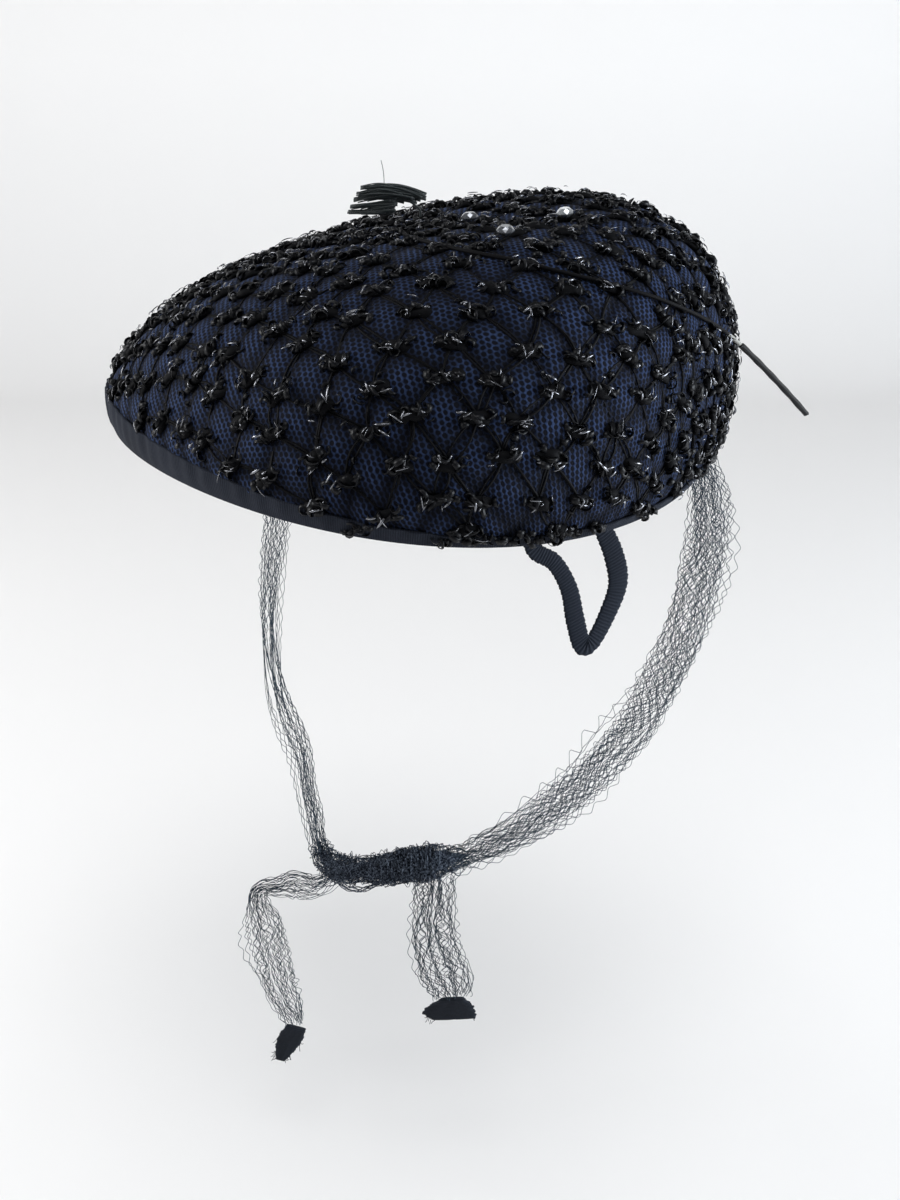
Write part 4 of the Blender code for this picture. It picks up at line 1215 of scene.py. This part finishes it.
def folded_tab(name, node, start, lean, length, width, shape, shifts, finish):
    """A block of folded cloth: rings of a flattened oval along a leaning line. Two creases run
    along it as dips in the oval. Its edges are a little ragged, with frayed threads on them."""
    side, out = facing_vectors(np.array([TAIL_BEARING, TAIL_OUT]))
    gap = GAP + width * shape[0] / 2 * abs(lean) * TAB_CLEAR
    way = unit(side * lean - UP)
    across_way = np.cross(way, out)
    count, around = 46, 36
    share = np.linspace(0, 1, count)
    outline = smooth_rows(np.stack([shape, shifts], 1), count) * width
    line = start + np.outer(gap + share * length, way) + np.outer(outline[:, 1], across_way)
    wide = outline[:, 0] * (1 + 0.04 * np.sin(31 * share) + 0.04 * np.sin(83 * share + 1))
    turn = np.linspace(0, 2 * np.pi, around, endpoint=False)
    over = np.cos(turn) * wide[:, None] / 2
    squash = np.abs(np.sin(turn)) ** 0.6 * np.sign(np.sin(turn))
    dip = 1 - 0.22 * bell(np.cos(turn) - 0.25 * np.sin(3 * share[:, None]), 0.12)
    dip = dip - 0.16 * bell(np.cos(turn) + 0.45, 0.10)
    round_ends = np.clip(np.minimum(share, 1 - share) * 14, 0.35, 1) ** 0.5
    rings = (line[:, None] + across_way * over[..., None]
             + out * (squash * dip * TAB_THICK / 2 * round_ends[:, None])[..., None])
    faces, ring = grid_quads(count, around, True), np.arange(around)
    numbers = np.concatenate([faces.ravel(), ring[::-1], ring + (count - 1) * around])
    sizes = np.concatenate([np.full(len(faces), 4), [around, around]])
    uv = np.stack(np.broadcast_arrays(share[:, None] * length, over), -1)
    block = (rings.reshape(-1, 3), numbers, sizes, uv.reshape(-1, 2))
    draw = np.random.default_rng(75)
    pick = draw.integers(count // 3, count, FRAYS)
    sideways = across_way * draw.choice([-1.0, 1.0], (FRAYS, 1))
    begin = line[pick] + sideways * wide[pick, None] * 0.44
    run_out = (sideways * draw.uniform(0.0003, 0.0018, (FRAYS, 1))
               + way * draw.uniform(-0.0004, 0.0034, (FRAYS, 1)))
    part = np.linspace(0, 1, 8)[None, :, None]
    bent = out * 0.0005 * np.sin(5 * part + draw.uniform(0, 6, (FRAYS, 1, 1)))
    frays = begin[:, None] + run_out[:, None] * part ** draw.uniform(0.6, 1.6, (FRAYS, 1, 1)) + bent
    fringe = sweep(frays, out, FRAY_THREAD, FRAY_THREAD, 3)
    add_swept(name, joined(block, fringe), finish, "tab", node)


tab_finish = ribbed_material("tab_cloth", (0.012, 0.014, 0.019), (0.030, 0.035, 0.045),
                             pitch=0.0006, rough=0.95, depth=0.0001)
folded_tab("tab_front", "tail_tab_front", front_end, lean=0.32, length=0.0175, width=0.0090,
           shape=(0.85, 1.05, 0.85, 0.45), shifts=(-0.10, -0.02, 0.06, 0.10), finish=tab_finish)
folded_tab("tab_back", "tail_tab_back", back_end, lean=-0.05, length=0.0095, width=0.0195,
           shape=(0.42, 0.80, 0.98, 0.84), shifts=(-0.05, 0.00, 0.04, -0.05), finish=tab_finish)

# %% [markdown]
# Under the rim hangs a loop of ribbed elastic for a comb or a hairpin. Its ribs stand out along
# the edge as small teeth, so they are modelled and not just drawn.

# %% The elastic loop
LOOP_DROP, LOOP_SPREAD, LOOP_BEARING, LOOP_CLEAR = 0.048, 0.026, 22, 0.0022
RIBBON_WIDE, RIBBON_THICK, RIB_PITCH, END_RISE = 0.0052, 0.0010, 0.0011, 3.0
RIBBON_ROWS = [(-0.50, 0.00), (-0.38, 0.21), (-0.08, 0.33), (0.14, 0.53), (0.25, 0.76),
               (0.37, 0.95), (0.53, 0.95), (0.75, 0.76), (0.88, 0.56), (0.79, 0.35),
               (0.60, 0.14), (0.50, 0.00)]
spread = LOOP_SPREAD / 2 / (CROWN_LENGTH / 2)
end_bearing = np.radians(LOOP_BEARING) + spread * np.array([1, -1])
end_lift = -(CROWN_WALL + FIT_GAP + BINDING_THICK + GAP + RIBBON_THICK / 2) - LOOP_CLEAR
end_rise = np.radians([END_RISE, END_RISE])
loop_ends = tilted(crown_point(end_bearing, end_rise) + crown_normal(end_bearing, end_rise)
                   * end_lift)
level = unit(loop_ends[1] - loop_ends[0])
path = smooth_rows(RIBBON_ROWS, 420)
loop_path = (loop_ends.mean(0) + np.outer(path[:, 0], level) * LOOP_SPREAD
             - np.outer(path[:, 1], UP) * LOOP_DROP)
loop_out = facing_vectors(LOOP_BEARING)
loop_length = run_along(loop_path)
rib_wave = np.sin(2 * np.pi * loop_length / RIB_PITCH)
loop_share = loop_length / loop_length[-1]
fuller = 1 + 0.26 * bell(loop_share - 0.40, 0.13) + 0.42 * bell(loop_share - 0.74, 0.19)
teeth = np.abs(np.sin(np.pi * loop_length / (2 * RIB_PITCH)))
print("elastic loop is", round(float(loop_length[-1]), 4), "m long")
wide_way = np.cross(unit(np.gradient(loop_path, axis=0)), loop_out)
loop_part = sweep(loop_path, wide_way,
                  RIBBON_WIDE / 2 * fuller * (1 + 0.03 * rib_wave + 0.09 * teeth),
                  RIBBON_THICK / 2 * (1.05 + 0.28 * rib_wave), 12)
elastic = ribbed_material("elastic", (0.007, 0.010, 0.017), (0.019, 0.024, 0.036),
                          pitch=RIB_PITCH, rough=0.85, depth=0.0001)
add_swept("elastic_loop", loop_part, elastic, "elastic", "comb_loop")

# %% [markdown]
# The quill is a bare feather shaft. It lies over the dome under the straw loops and runs out past
# the rim, where its end is wound with thread.

# %% Quill and wound end
QUILL_DIAMETER, SLEEVE_DIAMETER, SLEEVE_LENGTH = 0.0013, 0.0021, 0.037
SLEEVE_BEARING, SLEEVE_DIP, SLEEVE_SAG, QUILL_BARE, TOP_CLEAR = -54, 43, 0.06, 0.008, 0.0004
QUILL_ROWS = [(169, 77), (120, 75), (84, 74.5), (52, 73.5), (26, 69), (9, 62.5), (-5, 53),
              (-20, 39)]
seats = np.radians(smooth_rows(QUILL_ROWS, 120))
lift = QUILL_DIAMETER / 2 + GAP + TOP_CLEAR
sunk_in = (give(seats[:, 0], seats[:, 1]) * np.linspace(1, 0, len(seats)) ** 0.5)[:, None]
on_crown = crown_point(seats[:, 0], seats[:, 1]) + crown_normal(seats[:, 0], seats[:, 1]) * (
    lift - sunk_in)
leave = unit(on_crown[-1] - on_crown[-9])
dip = np.radians(SLEEVE_DIP)
fall = facing_vectors(SLEEVE_BEARING) * np.cos(dip) - UP * np.sin(dip)
bare = on_crown[-1] + np.outer(np.linspace(0.1, 1, 10), unit(leave + fall) * QUILL_BARE)
shaft = tilted(np.concatenate([on_crown, bare]))
QUILL_DARK, QUILL_PALE = (0.003, 0.003, 0.004), (0.35, 0.35, 0.33)
quill_finish, tree, shader = new_material("quill_shaft", QUILL_DARK, 0.7, Specular_IOR_Level=0.10)
bare_from = float(run_along(shaft)[-1]) - QUILL_BARE
bare_share = math_node(tree, "GREATER_THAN", first_of(tree, cloth_uv(tree)), bare_from)
tree.links.new(ramp_node(tree, bare_share, [(0.0, QUILL_DARK), (1.0, QUILL_PALE)]),
               shader.inputs["Base Color"])
quill_part = sweep(shaft, UP, QUILL_DIAMETER / 2, QUILL_DIAMETER / 2, 10)
add_swept("quill_shaft", quill_part, quill_finish, "quill", "hat_quill")

sleeve_share = np.linspace(0, 1, 46)[:, None]
sleeve_line = tilted(bare[-1] + fall * (2 * GAP + SLEEVE_LENGTH * sleeve_share)
                     - UP * SLEEVE_SAG * SLEEVE_LENGTH * sleeve_share ** 2)
sleeve_way = unit(sleeve_line[-1] - sleeve_line[0])
first_side = unit(np.cross(sleeve_way, UP))
second_side = np.cross(sleeve_way, first_side)
WIND_TURNS, WIND_STEPS = 74, 900
WIND_HALF_WIDE, WIND_HALF_THICK, CORE_UNDER = 0.00027, 0.0002, 0.0003
wind_share = np.linspace(0, 1, WIND_STEPS)
wind_angle = 2 * np.pi * WIND_TURNS * wind_share
wind_middle = np.stack([np.interp(wind_share, sleeve_share[:, 0], column)
                        for column in sleeve_line.T], 1)
wind_radius = SLEEVE_DIAMETER / 2 - WIND_HALF_THICK + 0.00006 * np.sin(31 * wind_share)
winding = (wind_middle + first_side * (np.cos(wind_angle) * wind_radius)[:, None]
           + second_side * (np.sin(wind_angle) * wind_radius)[:, None])
core_radius = SLEEVE_DIAMETER / 2 - CORE_UNDER
sleeve_part = joined(sweep(sleeve_line, first_side, core_radius, core_radius, 10),
                     sweep(winding, sleeve_way, WIND_HALF_WIDE, WIND_HALF_THICK, 5))
thread_finish = new_material("wound_thread", (0.010, 0.010, 0.012), 0.5)[0]
add_swept("wound_sleeve", sleeve_part, thread_finish, "thread", "quill_sleeve")

# %% [markdown]
# At the quill's start is what is left of the feather: a small frayed leaf of barbs. Each barb is
# a thin blade. The barbs stick together in a few fingers, so a table says for each finger where
# its barbs start and end, and every barb is drawn into one of them.

# %% The feather tuft
TUFT_LENGTH, TUFT_HEIGHT = 0.026, 0.012
TUFT_REACH = (0.61, -0.79, 0.10)
TUFT_SEAT = np.radians(QUILL_ROWS[0])
root = crown_point(*TUFT_SEAT) + crown_normal(*TUFT_SEAT) * (GAP + TOP_CLEAR)
reach = unit(np.array(TUFT_REACH))
upright = unit(UP - reach * reach[2])
leaf_out = np.cross(reach, upright)
tuft_base = root + reach * (QUILL_DIAMETER / 2 + GAP)
draw = np.random.default_rng(81)
BARBS, BARB_HALF_WIDE, BARB_HALF_THICK = 250, 0.00062, 0.00007
barb_share = np.linspace(0, 1, 16)[None]
FINGERS = np.array([
    # where it ends: reach, height; where it starts: least and greatest reach, height; bulge
    (0.79, 0.62, -0.06, 0.20, 0.52, 0.17), (0.84, 0.43, -0.02, 0.25, 0.48, 0.16),
    (0.87, 0.27, 0.05, 0.34, 0.40, 0.10), (0.91, 0.07, 0.30, 0.42, 0.28, 0.02),
    (0.94, -0.08, 0.32, 0.46, 0.06, -0.02)])
finger = FINGERS[draw.integers(0, len(FINGERS), BARBS)]
start_reach = draw.uniform(finger[:, 2], finger[:, 3])[:, None]
start_height = (finger[:, 4] + draw.normal(0, 0.04, BARBS))[:, None]
end_reach = (finger[:, 0] - 0.30 * draw.random(BARBS) ** 3)[:, None]
end_height = (finger[:, 1] + draw.normal(0, 0.028, BARBS))[:, None]
bulge = (finger[:, 5] * draw.uniform(0.5, 1.1, BARBS))[:, None]
barb_reach = start_reach + (end_reach - start_reach) * barb_share
barb_height = (start_height + (end_height - start_height) * barb_share
               + bulge * np.sin(np.pi * barb_share))
barb_deep = draw.normal(0, 0.0006, (BARBS, 1)) * (0.3 + barb_share)
barbs = tilted(tuft_base + reach * (barb_reach * TUFT_LENGTH)[..., None]
               + upright * (barb_height * TUFT_HEIGHT)[..., None] + leaf_out * barb_deep[..., None])
blade = BARB_HALF_WIDE * (1 - 0.75 * barb_share) * np.ones((BARBS, 1))
barb_part = sweep(barbs, tilted(upright), blade, BARB_HALF_THICK)
SPINE_ROWS = [(0.00, -0.03), (0.01, 0.15), (0.06, 0.23), (0.11, 0.31), (0.22, 0.42), (0.45, 0.48)]
spine = smooth_rows(SPINE_ROWS, 40)
spine_path = tilted(tuft_base + np.outer(spine[:, 0] * TUFT_LENGTH, reach)
                    + np.outer(spine[:, 1] * TUFT_HEIGHT, upright))
spine_part = sweep(spine_path, tilted(leaf_out), half_wide=0.00042, half_thick=0.00036,
                   corners=8)
WIRE_ROWS = [
    [(0.34, -0.04), (0.44, 0.02), (0.52, 0.10), (0.60, 0.24)],
    [(0.49, 0.72), (0.50, 0.95), (0.52, 1.18), (0.55, 1.40)]]
wires = np.stack([smooth_rows(rows, 30) for rows in WIRE_ROWS])
wire_paths = tilted(tuft_base + reach * (wires[..., :1] * TUFT_LENGTH)
                    + upright * (wires[..., 1:] * TUFT_HEIGHT) + leaf_out * 0.0006)
wire_part = sweep(wire_paths, tilted(leaf_out), half_wide=0.00014, half_thick=0.00014)
feather_finish = new_material("feather", (0.007, 0.015, 0.017), 0.55, Sheen_Weight=0.3)[0]
add_swept("feather_barbs", joined(barb_part, spine_part, wire_part), feather_finish, "feather",
          "feather_tuft")

# %% [markdown]
# The stones are foil-backed glass. Light that enters is thrown straight back, so a clear glass
# with nothing behind it would look black on the dark hat. A mirror-like body under the facets
# shows them as they are: nearly white, with one or two dark facets. Two of the three get a
# darker, duller copy of the finish; its darker colour is painted shade, for stones half hidden
# under the straw.

# %% Cut stones
STONE_DIAMETER, STONE_HEIGHT = 0.0058, 0.0028
STONE_ROWS = np.radians([(198.5, 88.5), (79.5, 80.6), (131.5, 81.7)])
STONE_CORNERS = 8
STONE_RINGS = [
    # radius and height as shares, and the turn in steps
    (0.55, 0.0, 0.0), (1.0, 0.38, 0.0), (1.0, 0.48, 0.0), (0.80, 0.78, 0.5), (0.52, 1.0, 0.0)]
stone_finish = new_material("cut_stone", (0.72, 0.75, 0.78), 0.06, Metallic=0.80,
                            Coat_Weight=1.0, Coat_Roughness=0.02)[0]
# A darker, duller copy of the stone finish: its darker colour is painted shade for stones half
# hidden under the straw.
stone_shaded = new_material("cut_stone_shaded", (0.22, 0.23, 0.25), 0.16, Metallic=0.80,
                          Coat_Weight=0.3, Coat_Roughness=0.10)[0]


def cut_stone(number, bearing, rise, finish):
    """Rings of eight corners, turned half a step from one to the next: girdle, upper facets and
    the table, closed below by a shallow point."""
    normal = crown_normal(bearing, rise)
    seat = crown_point(bearing, rise) + normal * (GAP + TOP_CLEAR)
    first = unit(np.cross(normal, [0.3, 0.2, 1.0]))
    second = np.cross(normal, first)
    radius = STONE_DIAMETER / 2
    made = []
    for wide_share, high_share, shift in STONE_RINGS:
        turn = (np.arange(STONE_CORNERS) + shift) / STONE_CORNERS * 2 * np.pi
        made.append(seat + first * (np.cos(turn) * radius * wide_share)[:, None]
                    + second * (np.sin(turn) * radius * wide_share)[:, None]
                    + normal * (high_share * STONE_HEIGHT))
    corner = tilted(np.concatenate(made))
    index = np.arange(len(corner)).reshape(-1, STONE_CORNERS)
    nxt = np.roll(index, -1, 1)
    faces = []
    for low in (0, 1):
        faces += [list(face) for face in zip(index[low], nxt[low], nxt[low + 1], index[low + 1])]
    for k in range(STONE_CORNERS):
        a, b = index[2, k], nxt[2, k]
        middle, later = index[3, k], nxt[3, k]
        top_a, top_b = index[4, k], nxt[4, k]
        faces += [[a, b, middle], [b, later, middle],
                  [middle, later, top_b], [middle, top_b, top_a]]
    faces += [list(index[0][::-1]), list(index[4])]
    mesh = bpy.data.meshes.new(f"cut_stone_{number}")
    mesh.from_pydata(corner.tolist(), [], [[int(n) for n in face] for face in faces])
    mesh.validate()
    add_piece(f"cut_stone_{number}", mesh, finish, "stone", f"rhinestone_{number}")


for number, (bearing, rise) in enumerate(STONE_ROWS, start=1):
    cut_stone(number, bearing, rise, stone_finish if number == 1 else stone_shaded)

# %% [markdown]
# The hat hangs at the height of a head above a pale floor. The floor runs up into a pale wall in
# one sweep, which keeps a horizon line out of the picture.

# %% Floor, light and camera
FLOOR_HEIGHT, WALL_AWAY, BEND = -0.300, 1.5, 0.35
FLOOR_REACH, WALL_HIGH = 6.0, 5.0
SKY_COLOUR, SKY_STRENGTH = (0.92, 0.95, 1.0, 1), 0.18
LAMPS_AIM = (0, 0.02, 0.02)
CAMERA_PLACE, LENS, SENSOR = (0.3926, 0.3254, 0.1366), 43.71, 36
AZIMUTH, ELEVATION = math.radians(127.5), math.radians(22.5)
back = np.array([math.sin(AZIMUTH), -math.cos(AZIMUTH), 0])
right = np.array([math.cos(AZIMUTH), math.sin(AZIMUTH), 0])
bend = np.linspace(0, np.pi / 2, 40)
curve = np.concatenate([[(FLOOR_REACH, 0.0)], np.stack([
    -(WALL_AWAY - BEND) - BEND * np.sin(bend), BEND * (1 - np.cos(bend))], 1),
    [(-WALL_AWAY, WALL_HIGH)]])
floor_x = np.array([-FLOOR_REACH, FLOOR_REACH])
sheet = (curve[:, None, :1] * back + floor_x[None, :, None] * right
         + UP * (curve[:, None, 1:] + FLOOR_HEIGHT))
floor_faces = grid_quads(len(curve), 2)
mesh = build_mesh("floor", sheet.reshape(-1, 3), floor_faces.ravel(), np.full(len(floor_faces), 4))
mesh.materials.append(new_material("pale_floor", (0.86, 0.85, 0.84), 0.8)[0])
floor = bpy.data.objects.new("floor", mesh)
bpy.context.scene.collection.objects.link(floor)
floor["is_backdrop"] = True

world = bpy.data.worlds.new("studio")
world.use_nodes = True
sky = world.node_tree.nodes["Background"]
sky.inputs[0].default_value, sky.inputs[1].default_value = SKY_COLOUR, SKY_STRENGTH
bpy.context.scene.world = world


def aimed(right_way, up_way, back_way):
    """A turn whose own axes look along three world directions."""
    return Matrix([[*right_way, 0], [*up_way, 0], [*back_way, 0], [0, 0, 0, 1]]).transposed()


def soft_light(name, place, target, size, watts, colour=(1, 1, 1)):
    """A square lamp that looks at a target: its back is along the line from target to lamp."""
    lamp = bpy.data.lights.new(name, "AREA")
    lamp.size, lamp.energy, lamp.color = size, watts, colour
    thing = bpy.data.objects.new(name, lamp)
    away = unit(np.array(place, float) - np.array(target, float))
    level_way = unit(np.cross(UP, away))
    thing.matrix_world = aimed(level_way, np.cross(away, level_way), away)
    thing.location = place
    bpy.context.scene.collection.objects.link(thing)


def seen_from_camera(right_way, up_way, toward_way):
    """A place given by metres to the camera's right, up, and toward it from the hat."""
    return right * right_way + UP * up_way + back * toward_way


soft_light("window_left", seen_from_camera(-1.45, 0.45, 0.0), LAMPS_AIM, size=0.8, watts=21)
soft_light("window_right", seen_from_camera(1.50, 0.10, 0.15), LAMPS_AIM, size=0.8, watts=30,
           colour=(0.88, 0.94, 1))
soft_light("lamp_top", seen_from_camera(0.1, 1.7, 0.5), LAMPS_AIM, size=1.0, watts=13)

camera_data = bpy.data.cameras.new("camera")
camera_data.lens, camera_data.sensor_width = LENS, SENSOR
camera = bpy.data.objects.new("camera", camera_data)
camera_back = back * math.cos(ELEVATION) + UP * math.sin(ELEVATION)
camera.matrix_world = aimed(right, np.cross(camera_back, right), camera_back)
camera.location = CAMERA_PLACE
bpy.context.scene.collection.objects.link(camera)
bpy.context.scene.camera = camera
bpy.context.scene.view_settings.view_transform = "Standard"

# %% Sizes and the end
bpy.context.view_layer.update()
dressed_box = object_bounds()
print("triangles in all:", sum(made_triangles.values()))
for label, box in (("plain:", cad_box), ("dressed:", dressed_box)):
    print(label, [tuple(round(v, 4) for v in corner) for corner in box])
